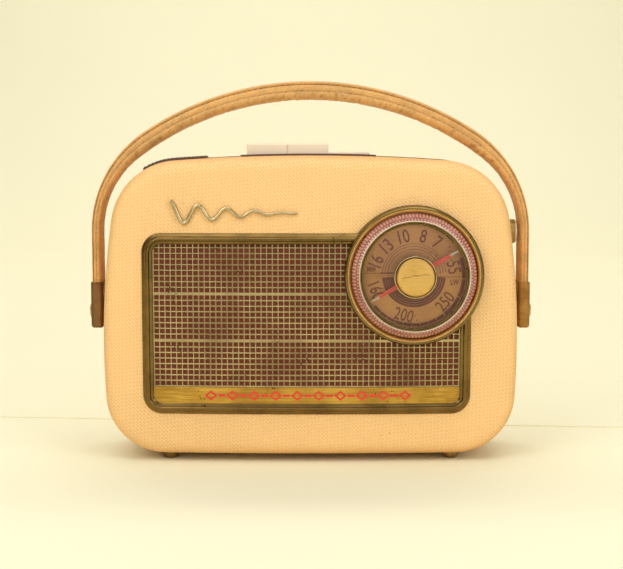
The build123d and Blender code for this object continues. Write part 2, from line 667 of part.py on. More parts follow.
def make_volume_knob():
    """A knurled brass barrel."""
    start = side_x(VOLUME_Z - VOLUME_KNOB_R) + 0.9
    knob = rod_x(VOLUME_Y, VOLUME_Z, VOLUME_KNOB_R, start, VOLUME_OUT_X - 1.2)
    teeth = 40
    for i in range(teeth):
        a = 2 * math.pi * i / teeth
        knob -= rod_x(VOLUME_Y + (VOLUME_KNOB_R + 0.1) * math.cos(a), VOLUME_Z + (VOLUME_KNOB_R + 0.1) * math.sin(a),
                      0.4, start - 1, VOLUME_OUT_X)
    return knob - rod_x(VOLUME_Y, VOLUME_Z, 1.6, start - 1, VOLUME_OUT_X - 2.2)


def make_volume_knob_face():
    """The pale disc on the end of the volume knob."""
    disc = rod_x(VOLUME_Y, VOLUME_Z, VOLUME_KNOB_R - 0.6, VOLUME_OUT_X - 1.2, VOLUME_OUT_X)
    return fillet(disc.edges().group_by(Axis.X)[-1], 0.5)


# ---------------------------------------------------------------- carrying strap
def strap_curve(half, top_z, arch_r, shoulder_r):
    """An arch with two rounder shoulders and straight ends, as a face that is closed along the bottom."""
    centre_z = top_z - arch_r
    shoulder_x = half - shoulder_r
    shoulder_z = centre_z + math.sqrt((arch_r - shoulder_r) ** 2 - shoulder_x ** 2)
    meet = math.atan2(shoulder_z - centre_z, shoulder_x)
    meet_x, meet_z = arch_r * math.cos(meet), centre_z + arch_r * math.sin(meet)
    bend = meet / 2
    side_mid = (shoulder_x + shoulder_r * math.cos(bend), shoulder_z + shoulder_r * math.sin(bend))
    lines = [
        Line((half, FERRULE_BOTTOM_Z + 1), (half, shoulder_z)),
        ThreePointArc((half, shoulder_z), side_mid, (meet_x, meet_z)),
        ThreePointArc((meet_x, meet_z), (0, top_z), (-meet_x, meet_z)),
        ThreePointArc((-meet_x, meet_z), (-side_mid[0], side_mid[1]), (-half, shoulder_z)),
        Line((-half, shoulder_z), (-half, FERRULE_BOTTOM_Z + 1)),
        Line((-half, FERRULE_BOTTOM_Z + 1), (half, FERRULE_BOTTOM_Z + 1)),
    ]
    return make_face(lines)


def make_carry_strap():
    """The padded leather strap: thin at its ends, thick over the arch."""
    face = strap_curve(STRAP_OUT_X, STRAP_OUT_TOP_Z, STRAP_OUT_R, STRAP_OUT_SHOULDER_R)
    face -= strap_curve(STRAP_IN_X, STRAP_IN_TOP_Z, STRAP_IN_R, STRAP_IN_SHOULDER_R)
    strap = prism(face, PIVOT_Y - STRAP_W / 2, PIVOT_Y + STRAP_W / 2)
    edges = [e for e in strap.edges() if e.bounding_box().size.Y < 0.1 and e.length > 12]
    strap = fillet(edges, 2.0)
    for side in (-1, 1):
        strap -= rod_x(PIVOT_Y, PIVOT_Z, 4.2, side * 140 - 8, side * 140 + 8)
    return strap


def make_ferrules():
    """Folded brass ends on the strap, each with a pivot hole."""
    made = []
    low, high = FERRULE_BOTTOM_Z, FERRULE_TOP_Z
    mid_x = (STRAP_IN_X + STRAP_OUT_X) / 2
    thick = STRAP_OUT_X - STRAP_IN_X + 2 * FERRULE_WALL
    for side in (-1, 1):
        body = block(side * mid_x, PIVOT_Y, (low + high) / 2, thick, STRAP_W + 2 * FERRULE_WALL, high - low)
        body = fillet(body.edges().filter_by(Axis.Z), 2.2)
        lower = [e for e in body.faces().sort_by(Axis.Z)[0].edges()]
        body = fillet(lower, 2.0)
        room = block(side * mid_x, PIVOT_Y, (low + high) / 2 + 1.0, thick - 2 * FERRULE_WALL + 0.04,
                     STRAP_W + 0.04, high - low)
        body -= room
        body -= rod_x(PIVOT_Y, PIVOT_Z, 3.0 + SLIP, side * mid_x - 9, side * mid_x + 9)
        made.append(body)
    return made


def make_pivot_screws():
    """Shoulder screws with domed heads. The strap's ends turn on them."""
    made = []
    outer = STRAP_OUT_X + FERRULE_WALL
    for side in (-1, 1):
        shank = rod_x(PIVOT_Y, PIVOT_Z, 3.0, 120.0, outer + 0.4)
        head = Pos(outer + 0.2, PIVOT_Y, PIVOT_Z) * Rot(0, 90, 0) * revolve(
            make_face(Plane.XZ * Polyline((0, 0), (6.0, 0), (5.6, 0.8), (3.8, 1.6), (0, 1.9), close=True)), Axis.Z)
        head -= block(outer + 2.1, PIVOT_Y, PIVOT_Z, 1.2, 14, 1.0)
        one = shank + head
        made.append(one if side > 0 else mirror(one, Plane.YZ))
    return made


def make_pivot_bushes():
    """Spacers between the case and the strap's ends."""
    made = []
    for side in (-1, 1):
        start = side_x(PIVOT_Z, WALL) - 1.5
        end = STRAP_IN_X - FERRULE_WALL - 0.15
        bush = rod_x(PIVOT_Y, PIVOT_Z, BUSH_R, start, end)
        collar = side_x(PIVOT_Z - 6.5) + 0.05
        bush += rod_x(PIVOT_Y, PIVOT_Z, 6.5, collar, collar + 1.4)
        bush -= rod_x(PIVOT_Y, PIVOT_Z, 3.0, start - 1, end + 1)
        made.append(bush if side > 0 else mirror(bush, Plane.YZ))
    return made


def make_pivot_nuts():
    """Nuts on the pivot screws, inside the case."""
    made = []
    for side in (-1, 1):
        end = side_x(PIVOT_Z, WALL) - 1.5
        nut = Pos(end - 2.0, PIVOT_Y, PIVOT_Z) * Rot(0, 90, 0) * extrude(RegularPolygon(5.7, 6), amount=2.0, both=True)
        nut -= rod_x(PIVOT_Y, PIVOT_Z, 3.0, end - 9, end + 3)
        made.append(nut if side > 0 else mirror(nut, Plane.YZ))
    return made


# ---------------------------------------------------------------- small outside pieces
def make_aerial_cover():
    """A ribbed brown strip on the top left that follows the curve of the case."""
    span = Pos(-86.5, CASE_TOP_Z - 8) * Rectangle(40, 34)
    strip = prism((outline(-2.6) - outline(-0.05)) & span, FRONT_Y + 16, FRONT_Y + 34)
    return strip


def cover_face_y():
    return REAR_Y - crown_sag(COVER_POST_X, COVER_POST_Z)


def make_cover_screw(side):
    """A quarter-turn screw with a coin slot, captive in the rear cover."""
    face = cover_face_y() - 1.7
    x, z = side * COVER_POST_X, COVER_POST_Z
    head = rod_y(x, z, 6.0, face, face + 1.8)
    shank = rod_y(x, z, 2.5, face - 9.0, face + 0.1)
    return head + shank - block(x, face + 1.8, z, 12.5, 1.8, 1.4)


def make_cover_posts():
    """Two pillars on the baffle board that take the rear cover's screws."""
    made = []
    end = cover_face_y() - 5.2
    for side in (-1, 1):
        x = side * COVER_POST_X
        post = rod_y(x, COVER_POST_Z, 5.0, BOARD_Y + BOARD_T, end)
        post += rod_y(x, COVER_POST_Z, 2.5, BOARD_Y, BOARD_Y + BOARD_T + 0.5)
        made.append(post - rod_y(x, COVER_POST_Z, 2.5 + SLIP, end - 9, end + 1))
    return made


def build_all():
    """Makes every node."""
    parts["front_shell"] = make_front_shell()
    parts["rear_cover"] = make_rear_cover()
    parts["trim_band"] = make_trim_band()
    parts["feet_front"] = make_feet(FRONT_FOOT_Y)
    parts["feet_rear"] = make_feet(REAR_FOOT_Y)
    parts["grille_panel"] = make_grille_panel()
    parts["grille_cloth"] = make_grille_cloth()
    parts["grille_bezel"] = make_grille_bezel()
    parts["baffle_board"] = make_baffle_board()
    parts["wave_emblem"] = make_wave_emblem()
    parts["dial_bezel"] = make_dial_bezel()
    parts["dial_plate"] = make_dial_plate()
    parts["tuning_knob"] = make_tuning_knob()
    parts["tuning_pointer"] = make_tuning_pointer()
    parts["knob_cap"] = make_knob_cap()
    parts["tuning_shaft"] = make_tuning_shaft()
    parts["capacitor_frame"] = make_capacitor_frame()
    parts["capacitor_stator"] = make_capacitor_stator()
    parts["capacitor_rotor"] = make_capacitor_rotor()
    parts["speaker_frame"] = make_speaker_frame()
    parts["speaker_cone"] = make_speaker_cone()
    parts["speaker_magnet"] = make_speaker_magnet()
    parts["circuit_board"] = make_circuit_board()
    parts["if_cans"] = make_if_cans()
    parts["transistors"] = make_transistors()
    parts["electrolytics"] = make_electrolytics()
    parts["transformers"] = make_transformers()
    parts["board_pillars"] = make_board_pillars()
    parts["chassis_screws"] = make_chassis_screws()
    parts["ferrite_rod"] = make_ferrite_rod()
    parts["aerial_coils"] = make_aerial_coils()
    parts["rod_holders"] = make_rod_holders()
    parts["battery_tray"] = make_battery_tray()
    parts["battery_cells"] = make_battery_cells()
    parts["battery_contacts"] = make_battery_contacts()
    parts["key_escutcheon"] = make_escutcheon()
    for i, place in enumerate(("left", "middle", "right")):
        parts[f"key_cap_{place}"] = make_key_cap(i)
        parts[f"key_plunger_{place}"] = make_key_plunger(i)
        parts[f"key_spring_{place}"] = make_key_spring(i)
    parts["switch_frame"] = make_switch_frame()
    parts["switch_contacts"] = make_switch_contacts()
    parts["volume_pot"] = make_volume_pot()
    parts["volume_shaft"] = make_volume_shaft()
    parts["volume_knob"] = make_volume_knob()
    parts["volume_knob_face"] = make_volume_knob_face()
    parts["carry_strap"] = make_carry_strap()
    parts["ferrules"] = make_ferrules()
    parts["pivot_screws"] = make_pivot_screws()
    parts["pivot_bushes"] = make_pivot_bushes()
    parts["pivot_nuts"] = make_pivot_nuts()
    parts["aerial_cover"] = make_aerial_cover()
    parts["cover_screw_left"] = make_cover_screw(-1)
    parts["cover_screw_right"] = make_cover_screw(1)
    parts["cover_posts"] = make_cover_posts()


def write_all():
    """Writes one STEP per node."""
    os.makedirs("parts", exist_ok=True)
    for name, made in parts.items():
        shape = Compound(children=list(made)) if isinstance(made, list) else made
        export_step(shape, f"parts/{name}.step")


build_all()
write_all()
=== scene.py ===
"""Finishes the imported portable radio: shaped pieces, materials, light and camera, laid out as an add-on."""
import math

import bmesh
import bpy
from bpy.props import FloatProperty, FloatVectorProperty, IntProperty, PointerProperty
from mathutils import Matrix, Vector, noise


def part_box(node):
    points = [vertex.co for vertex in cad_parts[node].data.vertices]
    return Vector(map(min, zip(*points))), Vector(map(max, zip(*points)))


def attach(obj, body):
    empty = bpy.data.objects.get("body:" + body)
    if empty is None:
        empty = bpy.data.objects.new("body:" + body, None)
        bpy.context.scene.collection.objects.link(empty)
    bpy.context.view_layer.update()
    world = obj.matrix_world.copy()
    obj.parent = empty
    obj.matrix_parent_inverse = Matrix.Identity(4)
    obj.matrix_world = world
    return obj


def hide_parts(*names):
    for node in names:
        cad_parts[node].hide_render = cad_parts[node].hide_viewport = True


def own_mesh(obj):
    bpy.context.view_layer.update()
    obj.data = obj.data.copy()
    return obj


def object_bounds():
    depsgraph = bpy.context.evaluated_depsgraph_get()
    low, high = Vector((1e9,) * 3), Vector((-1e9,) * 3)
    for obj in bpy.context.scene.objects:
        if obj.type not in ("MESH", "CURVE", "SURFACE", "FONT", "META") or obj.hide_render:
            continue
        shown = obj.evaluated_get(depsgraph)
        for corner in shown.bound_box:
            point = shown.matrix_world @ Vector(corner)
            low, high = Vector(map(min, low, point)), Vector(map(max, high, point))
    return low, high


bl_info = {
    "name": "Portable Radio Pieces",
    "version": (1, 0, 0),
    "blender": (4, 5, 0),
    "location": "View3D > Sidebar > Radio",
    "description": "Models and finishes the visible pieces of a portable radio around its packed frame",
    "category": "Add Mesh",
}

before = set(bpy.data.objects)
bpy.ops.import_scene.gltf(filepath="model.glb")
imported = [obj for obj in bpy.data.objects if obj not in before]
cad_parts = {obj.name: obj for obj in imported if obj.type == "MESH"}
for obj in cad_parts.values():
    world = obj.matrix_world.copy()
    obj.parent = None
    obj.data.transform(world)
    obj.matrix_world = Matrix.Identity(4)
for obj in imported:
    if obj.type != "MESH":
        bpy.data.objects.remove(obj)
CAD_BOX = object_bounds()

MM = 0.001
CROWN_R = 1300 * MM                      # the case front is part of a sphere
CROWN_Z = 100.05 * MM                    # height of the foremost point of that sphere
FRONT_Y = CAD_BOX[0].y + 15.5 * MM       # depth of that point, behind the knob cap's face
DIAL_RING_R = 43.8 * MM                  # outside of the dial's brass ring
MERGE = 1e-6                             # points nearer than this become one
FINE_MERGE = 1e-7


def middle(node):
    """Centre of a CAD node's box."""
    low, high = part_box(node)
    return (low + high) / 2


DIAL = middle("dial_bezel")
BEZEL_LOW, BEZEL_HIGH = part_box("grille_bezel")
FIELD_LOW, FIELD_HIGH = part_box("grille_panel")
STRAP_LOW, STRAP_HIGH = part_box("carry_strap")


# ---------------------------------------------------------------- sizes and colours a user would change
def length_property(name, description, default):
    """A length in metres, shown in the scene's unit."""
    return FloatProperty(name=name, description=description, default=default, unit="LENGTH")


def colour_property(name, description, default):
    """A linear colour."""
    return FloatVectorProperty(name=name, description=description, default=default, subtype="COLOR", size=3)


class RadioGrilleSizes(bpy.types.PropertyGroup):
    """Sizes of the punched grille sheet."""

    pitch: length_property("Pitch", "From one hole to the next", 3.58 * MM)
    web: length_property("Web", "Half the metal left between two holes", 0.66 * MM)
    thickness: length_property("Thickness", "Depth of a hole's wall", 0.8 * MM)
    rows: IntProperty(name="Rows", description="Rows of holes in each band", default=8, min=1)
    bands: IntProperty(name="Bands", description="Bands of holes between plain bars", default=3, min=1)


class RadioDialSizes(bpy.types.PropertyGroup):
    """Sizes of the tuning dial's details."""

    flutes: IntProperty(name="Flutes", description="Flutes round the clear rim", default=112, min=12)
    numeral: length_property("Numeral height", "Height of the figures", 8.6 * MM)


class RadioStrapSizes(bpy.types.PropertyGroup):
    """Sizes of the strap's details."""

    stitch: length_property("Stitch", "From one stitch to the next", 3.1 * MM)
    crease: length_property("Crease", "Depth of the creases inside the arch", 0.55 * MM)


class RadioColours(bpy.types.PropertyGroup):
    """Main colours."""

    case: colour_property("Case", "Grained covering", (0.98, 0.655, 0.31))
    strap: colour_property("Strap", "Strap leather", (0.78, 0.44, 0.15))
    key: colour_property("Keys", "Aged ivory", (0.86, 0.70, 0.53))
    print: colour_property("Print", "Dial print", (0.17, 0.022, 0.008))


class RadioStageSettings(bpy.types.PropertyGroup):
    """Floor and light."""

    floor: colour_property("Floor", "Floor and wall", (0.88, 0.84, 0.62))
    key_power: FloatProperty(name="Key light", description="Power of the key light in watts", default=8.0,
                             min=0)


# ---------------------------------------------------------------- mesh helpers
def crown_y(x, z, proud=0.0):
    """Y of the case's front surface at x, z, moved towards the viewer by proud."""
    return FRONT_Y + CROWN_R - math.sqrt(CROWN_R ** 2 - x * x - (z - CROWN_Z) ** 2) - proud


def everything(bm):
    """All that a bisecting plane may cut."""
    return bm.verts[:] + bm.edges[:] + bm.faces[:]


def stand_up(bm):
    """Turns a shape drawn in X and Y to face the front: Y becomes Z, and its height points at the viewer."""
    bmesh.ops.rotate(bm, verts=bm.verts, cent=(0, 0, 0), matrix=Matrix.Rotation(math.pi / 2, 3, "X"))


def stand_on_dial(bm, y):
    """Stands up a shape drawn round the dial's centre, with its lowest height at depth y."""
    bmesh.ops.translate(bm, verts=bm.verts, vec=(DIAL.x, DIAL.z, 0))
    stand_up(bm)
    bmesh.ops.translate(bm, verts=bm.verts, vec=(0, y, 0))


def lay_on_case(bm, depth=0.0):
    """Stands a drawn shape up and bends it onto the case's front, or depth behind it."""
    stand_up(bm)
    for v in bm.verts:
        v.co.y += crown_y(v.co.x, v.co.z) + depth


def thicken(bm, height):
    """Raises all of a flat shape by height."""
    grown = bmesh.ops.extrude_face_region(bm, geom=bm.faces[:])
    top = [v for v in grown["geom"] if isinstance(v, bmesh.types.BMVert)]
    bmesh.ops.translate(bm, verts=top, vec=(0, 0, height))


def clear_dial(bm, overlap):
    """Removes what the dial ring hides from a drawn shape, except for a margin of overlap under the ring."""
    hub = Vector((DIAL.x, DIAL.z))
    hidden = [f for f in bm.faces if (f.calc_center_median().xy - hub).length < DIAL_RING_R - overlap]
    bmesh.ops.delete(bm, geom=hidden, context="FACES")
    bmesh.ops.delete(bm, geom=[v for v in bm.verts if not v.link_faces], context="VERTS")


def cross_cut(bm, spacing, axis, low, high):
    """Cuts a shape into even strips, so that it can bend."""
    normal = [0, 0, 0]
    normal[axis] = 1
    count = int((high - low) / spacing)
    for i in range(1, count):
        point = [0, 0, 0]
        point[axis] = low + (high - low) * i / count
        bmesh.ops.bisect_plane(bm, geom=everything(bm), plane_co=point, plane_no=normal, dist=FINE_MERGE)


def turned_ring(profile, steps):
    """A ring round the dial's axis. profile is its section: radius, and depth behind the crown, in mm."""
    bm = bmesh.new()
    verts = [bm.verts.new((DIAL.x + radius * MM, FRONT_Y + depth * MM, DIAL.z)) for radius, depth in profile]
    edges = [bm.edges.new(pair) for pair in zip(verts, verts[1:] + verts[:1])]
    bmesh.ops.spin(bm, geom=verts + edges, cent=(DIAL.x, 0, DIAL.z), axis=(0, 1, 0), angle=math.tau,
                   steps=steps, use_merge=True)
    bmesh.ops.remove_doubles(bm, verts=bm.verts, dist=MERGE)
    bmesh.ops.recalc_face_normals(bm, faces=bm.faces)
    return bm


def rounded_sheet(bm, low, high, radius, segments):
    """One flat face with round corners, in X and Y."""
    made = bmesh.ops.create_grid(bm, x_segments=1, y_segments=1, size=0.5)
    bmesh.ops.scale(bm, verts=made["verts"], vec=(high[0] - low[0], high[1] - low[1], 1))
    bmesh.ops.translate(bm, verts=made["verts"], vec=((low[0] + high[0]) / 2, (low[1] + high[1]) / 2, 0))
    bmesh.ops.bevel(bm, geom=made["verts"], offset=radius, offset_type="OFFSET", segments=segments,
                    profile=0.5, affect="VERTICES", material=-1)
    return bm.faces[:]


def add_piece(name, bm, body, finish, replaces=(), sharp=35.0, recalc=True):
    """Makes the object from a bmesh and rides it on its CAD body. Edges over sharp degrees stay crisp."""
    if recalc:
        bmesh.ops.recalc_face_normals(bm, faces=bm.faces)
    mesh = bpy.data.meshes.new(name)
    bm.to_mesh(mesh)
    bm.free()
    mesh.materials.append(material(finish))
    mesh.polygons.foreach_set("use_smooth", [True] * len(mesh.polygons))
    mesh.set_sharp_from_angle(angle=math.radians(sharp))
    piece = bpy.data.objects.new(name, mesh)
    bpy.context.scene.collection.objects.link(piece)
    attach(piece, body)
    if replaces:
        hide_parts(*replaces)
    return piece


def mesh_of(data):
    """The mesh that a curve or text makes, in a new bmesh."""
    holder = bpy.data.objects.new(data.name, data)
    bpy.context.scene.collection.objects.link(holder)
    bpy.context.view_layer.update()
    mesh = bpy.data.meshes.new_from_object(holder.evaluated_get(bpy.context.evaluated_depsgraph_get()))
    bpy.data.objects.remove(holder)
    bm = bmesh.new()
    bm.from_mesh(mesh)
    bpy.data.meshes.remove(mesh)
    return bm


def rod_mesh(points, radius, taper):
    """A round rod along a smooth curve. taper gives its relative thickness at a share of its length."""
    curve = bpy.data.curves.new("rod_path", "CURVE")
    curve.dimensions = "3D"
    curve.bevel_depth = radius
    curve.bevel_resolution = 4
    curve.use_fill_caps = True
    spline = curve.splines.new("NURBS")
    spline.points.add(len(points) - 1)
    for i, point in enumerate(points):
        spline.points[i].co = (*point, 1)
        spline.points[i].radius = taper(i / (len(points) - 1))
    spline.order_u = 4
    spline.use_endpoint_u = True
    spline.resolution_u = 4
    bm = mesh_of(curve)
    bmesh.ops.remove_doubles(bm, verts=bm.verts, dist=MERGE)
    return bm


CAPITAL_SHARE = 0.73                     # a capital's share of the font's size
NARROW = 0.74                            # the dial's figures are narrow


def add_text(bm, text, height, place, angle, thickness, weight=0.1):
    """Adds raised lettering, drawn in X and Y, centred on place and turned by angle."""
    curve = bpy.data.curves.new("figure", "FONT")
    curve.body = text
    curve.size = height / CAPITAL_SHARE
    curve.align_x = "CENTER"
    curve.align_y = "CENTER"
    curve.resolution_u = 4
    curve.offset = weight * MM
    part = mesh_of(curve)
    middle_x = (min(v.co.x for v in part.verts) + max(v.co.x for v in part.verts)) / 2
    middle_y = (min(v.co.y for v in part.verts) + max(v.co.y for v in part.verts)) / 2
    bmesh.ops.translate(part, verts=part.verts, vec=(-middle_x, -middle_y, 0))
    bmesh.ops.scale(part, verts=part.verts, vec=(NARROW, 1, 1))
    thicken(part, thickness)
    bmesh.ops.rotate(part, verts=part.verts, cent=(0, 0, 0), matrix=Matrix.Rotation(angle, 3, "Z"))
    bmesh.ops.translate(part, verts=part.verts, vec=(place[0], place[1], 0))
    join(bm, part)


def join(bm, part):
    """Adds one bmesh to another."""
    copied = {v: bm.verts.new(v.co) for v in part.verts}
    for face in part.faces:
        bm.faces.new([copied[v] for v in face.verts])
    part.free()


# ---------------------------------------------------------------- node helpers
def node(tree, kind, inputs=None, **settings):
    """Adds a shader node. An input is a number, a colour or another node's socket."""
    made = tree.nodes.new(kind)
    for name, value in settings.items():
        setattr(made, name, value)
    for name, value in (inputs or {}).items():
        if isinstance(value, bpy.types.NodeSocket):
            tree.links.new(value, made.inputs[name])
        else:
            made.inputs[name].default_value = value
    return made


def maths(tree, operation, first, second=0.0, clamp=False):
    """One step of arithmetic."""
    return node(tree, "ShaderNodeMath", {0: first, 1: second}, operation=operation,
                use_clamp=clamp).outputs[0]


def blend_colour(tree, factor, first, second):
    """Mixes two colours."""
    made = node(tree, "ShaderNodeMix", data_type="RGBA")
    for socket, value in ((made.inputs[0], factor), (made.inputs[6], first), (made.inputs[7], second)):
        if isinstance(value, bpy.types.NodeSocket):
            tree.links.new(value, socket)
        else:
            socket.default_value = value
    return made.outputs[2]


def spread(tree, value, low, high, to_low=0.0, to_high=1.0):
    """Maps a range onto another, smoothly."""
    return node(tree, "ShaderNodeMapRange", {"Value": value, "From Min": low, "From Max": high,
                                             "To Min": to_low, "To Max": to_high},
                interpolation_type="SMOOTHSTEP").outputs[0]


def start_group(name, inputs, outputs):
    """An empty node group with its sockets. Returns the tree, its inputs and its output node."""
    tree = bpy.data.node_groups.new(name, "ShaderNodeTree")
    for label, kind, default in inputs:
        socket = tree.interface.new_socket(label, in_out="INPUT", socket_type=kind)
        if default is not None:
            socket.default_value = default
    for label, kind in outputs:
        tree.interface.new_socket(label, in_out="OUTPUT", socket_type=kind)
    entry = tree.nodes.new("NodeGroupInput")
    leave = tree.nodes.new("NodeGroupOutput")
    return tree, entry.outputs, leave


def leave_with(tree, leave, **results):
    """Joins a group's results to its outputs."""
    for name, socket in results.items():
        tree.links.new(socket, leave.inputs[name.replace("_", " ")])


GROUPS = {}


def group(name):
    """A shared effect, built the first time it is asked for."""
    if name not in GROUPS:
        GROUPS[name] = GROUP_MAKERS[name]()
    return GROUPS[name]


def use(tree, name, **inputs):
    """Places a shared effect in a material."""
    made = tree.nodes.new("ShaderNodeGroup")
    made.node_tree = group(name)
    for label, value in inputs.items():
        socket = made.inputs[label.replace("_", " ")]
        if isinstance(value, bpy.types.NodeSocket):
            tree.links.new(value, socket)
        else:
            socket.default_value = value
    return made.outputs


def make_lizard_grain():
    """Embossed covering: slanted rows of small cells, laid flat on whichever way the surface faces."""
    tree, given, leave = start_group(
        "lizard grain",
        [("Cell", "NodeSocketFloat", 0.0021), ("Distort", "NodeSocketFloat", 0.35)],
        [("Height", "NodeSocketFloat"), ("Ridge", "NodeSocketFloat")])
    place = node(tree, "ShaderNodeTexCoord").outputs["Object"]
    facing = node(tree, "ShaderNodeSeparateXYZ", {0: node(tree, "ShaderNodeNewGeometry").outputs["Normal"]})
    part = node(tree, "ShaderNodeSeparateXYZ", {0: place})
    side = maths(tree, "GREATER_THAN", maths(tree, "ABSOLUTE", facing.outputs["X"]), 0.75)
    top = maths(tree, "GREATER_THAN", maths(tree, "ABSOLUTE", facing.outputs["Z"]), 0.75)
    front = node(tree, "ShaderNodeCombineXYZ", {0: part.outputs["X"], 1: part.outputs["Z"],
                                                2: 0.0}).outputs[0]
    flank = node(tree, "ShaderNodeCombineXYZ", {0: part.outputs["Y"], 1: part.outputs["Z"],
                                                2: 0.0}).outputs[0]
    lid = node(tree, "ShaderNodeCombineXYZ", {0: part.outputs["X"], 1: part.outputs["Y"], 2: 0.0}).outputs[0]
    picked = blend_colour(tree, side, front, flank)
    picked = blend_colour(tree, top, picked, lid)
    wobble = node(tree, "ShaderNodeTexNoise", {"Vector": place, "Scale": 95.0,
                                               "Detail": 2.0}).outputs["Color"]
    wobble = node(tree, "ShaderNodeVectorMath", {0: wobble, 1: (0.5, 0.5, 0.5)},
                  operation="SUBTRACT").outputs[0]
    amount = maths(tree, "MULTIPLY", given["Cell"], given["Distort"])
    wobble = node(tree, "ShaderNodeVectorMath", {0: wobble, "Scale": amount}, operation="SCALE").outputs[0]
    picked = node(tree, "ShaderNodeVectorMath", {0: picked, 1: wobble}, operation="ADD").outputs[0]
    turned = node(tree, "ShaderNodeVectorRotate", {"Vector": picked, "Angle": math.radians(42)},
                  rotation_type="Z_AXIS").outputs[0]
    size = maths(tree, "DIVIDE", 1.0, given["Cell"])
    scaled = node(tree, "ShaderNodeVectorMath", {0: turned, "Scale": size}, operation="SCALE").outputs[0]
    cells = node(tree, "ShaderNodeTexBrick", {
        "Vector": scaled, "Color1": (1, 1, 1, 1), "Color2": (0.55, 0.55, 0.55, 1), "Mortar": (0, 0, 0, 1),
        "Scale": 1.0, "Mortar Size": 0.15, "Mortar Smooth": 1.0, "Brick Width": 1.5, "Row Height": 0.86})
    groove = cells.outputs["Fac"]
    fine = node(tree, "ShaderNodeTexNoise", {"Vector": place, "Scale": 2600.0, "Detail": 2.0}).outputs["Fac"]
    total = maths(tree, "ADD", maths(tree, "MULTIPLY", fine, 0.3), groove)
    leave_with(tree, leave, Height=total, Ridge=groove)
    return tree


def make_specks():
    """Small scattered spots, such as dirt or corrosion."""
    tree, given, leave = start_group(
        "specks", [("Scale", "NodeSocketFloat", 400.0), ("Amount", "NodeSocketFloat", 0.3)],
        [("Mask", "NodeSocketFloat")])
    place = node(tree, "ShaderNodeTexCoord").outputs["Object"]
    dots = node(tree, "ShaderNodeTexVoronoi", {"Vector": place, "Scale": given["Scale"]})
    patch = node(tree, "ShaderNodeTexNoise", {"Vector": place,
                                              "Scale": maths(tree, "MULTIPLY", given["Scale"], 0.12),
                                              "Detail": 3.0}).outputs["Fac"]
    limit = maths(tree, "MULTIPLY", spread(tree, patch, 0.5, 0.75), given["Amount"])
    near = maths(tree, "LESS_THAN", dots.outputs["Distance"], limit)
    leave_with(tree, leave, Mask=near)
    return tree


def make_patina():
    """Tarnish on brass: broad cloudy patches, dark spots and fine scratches."""
    tree, given, leave = start_group(
        "patina",
        [("Metal", "NodeSocketColor", (0.55, 0.4, 0.15, 1)),
         ("Tarnish", "NodeSocketColor", (0.16, 0.1, 0.03, 1)), ("Amount", "NodeSocketFloat", 0.5),
         ("Scale", "NodeSocketFloat", 60.0), ("Polish", "NodeSocketFloat", 0.25),
         ("Spots", "NodeSocketFloat", 0.42)],
        [("Color", "NodeSocketColor"), ("Roughness", "NodeSocketFloat"), ("Height", "NodeSocketFloat")])
    place = node(tree, "ShaderNodeTexCoord").outputs["Object"]
    cloud = node(tree, "ShaderNodeTexNoise", {"Vector": place, "Scale": given["Scale"], "Detail": 6.0,
                                              "Roughness": 0.62}).outputs["Fac"]
    cloud = spread(tree, cloud, 0.36, 0.68)
    spots = use(tree, "specks", Scale=520.0, Amount=given["Spots"])["Mask"]
    long_way = node(tree, "ShaderNodeMapping", {"Vector": place, "Scale": (60.0, 900.0, 2400.0)}).outputs[0]
    lines = node(tree, "ShaderNodeTexNoise", {"Vector": long_way, "Scale": 1.0, "Detail": 2.0}).outputs["Fac"]
    lines = spread(tree, lines, 0.52, 0.75)
    worn = maths(tree, "MULTIPLY", cloud, given["Amount"], clamp=True)
    colour = blend_colour(tree, worn, given["Metal"], given["Tarnish"])
    colour = blend_colour(tree, maths(tree, "MULTIPLY", spots, 0.7), colour, (0.05, 0.025, 0.008, 1))
    colour = blend_colour(tree, maths(tree, "MULTIPLY", lines, 0.16), colour, (0.1, 0.06, 0.02, 1))
    rough = node(tree, "ShaderNodeMath", {0: cloud, 1: 0.2, 2: given["Polish"]},
                 operation="MULTIPLY_ADD").outputs[0]
    rough = maths(tree, "ADD", rough, maths(tree, "MULTIPLY", spots, 0.4), clamp=True)
    height = maths(tree, "SUBTRACT", maths(tree, "MULTIPLY", lines, 0.12), spots)
    leave_with(tree, leave, Color=colour, Roughness=rough, Height=height)
    return tree


def make_hide_grain():
    """Natural leather grain: creased cells over a soft mottling."""
    tree, given, leave = start_group(
        "hide grain", [("Scale", "NodeSocketFloat", 900.0)],
        [("Height", "NodeSocketFloat"), ("Mottle", "NodeSocketFloat"), ("Pores", "NodeSocketFloat")])
    place = node(tree, "ShaderNodeTexCoord").outputs["Object"]
    bend = node(tree, "ShaderNodeTexNoise", {"Vector": place, "Scale": 240.0, "Detail": 3.0}).outputs["Color"]
    bent = node(tree, "ShaderNodeVectorMath", {0: bend, "Scale": 0.0016}, operation="SCALE").outputs[0]
    bent = node(tree, "ShaderNodeVectorMath", {0: place, 1: bent}, operation="ADD").outputs[0]
    cells = node(tree, "ShaderNodeTexVoronoi", {"Vector": bent, "Scale": given["Scale"]},
                 feature="DISTANCE_TO_EDGE").outputs["Distance"]
    pores = spread(tree, cells, 0.0, 0.16, 1.0, 0.0)
    mottle = node(tree, "ShaderNodeTexNoise", {"Vector": place, "Scale": 130.0, "Detail": 5.0}).outputs["Fac"]
    mottle = spread(tree, mottle, 0.35, 0.65)
    height = maths(tree, "SUBTRACT", maths(tree, "MULTIPLY", mottle, 0.5), pores)
    leave_with(tree, leave, Height=height, Mottle=mottle, Pores=pores)
    return tree


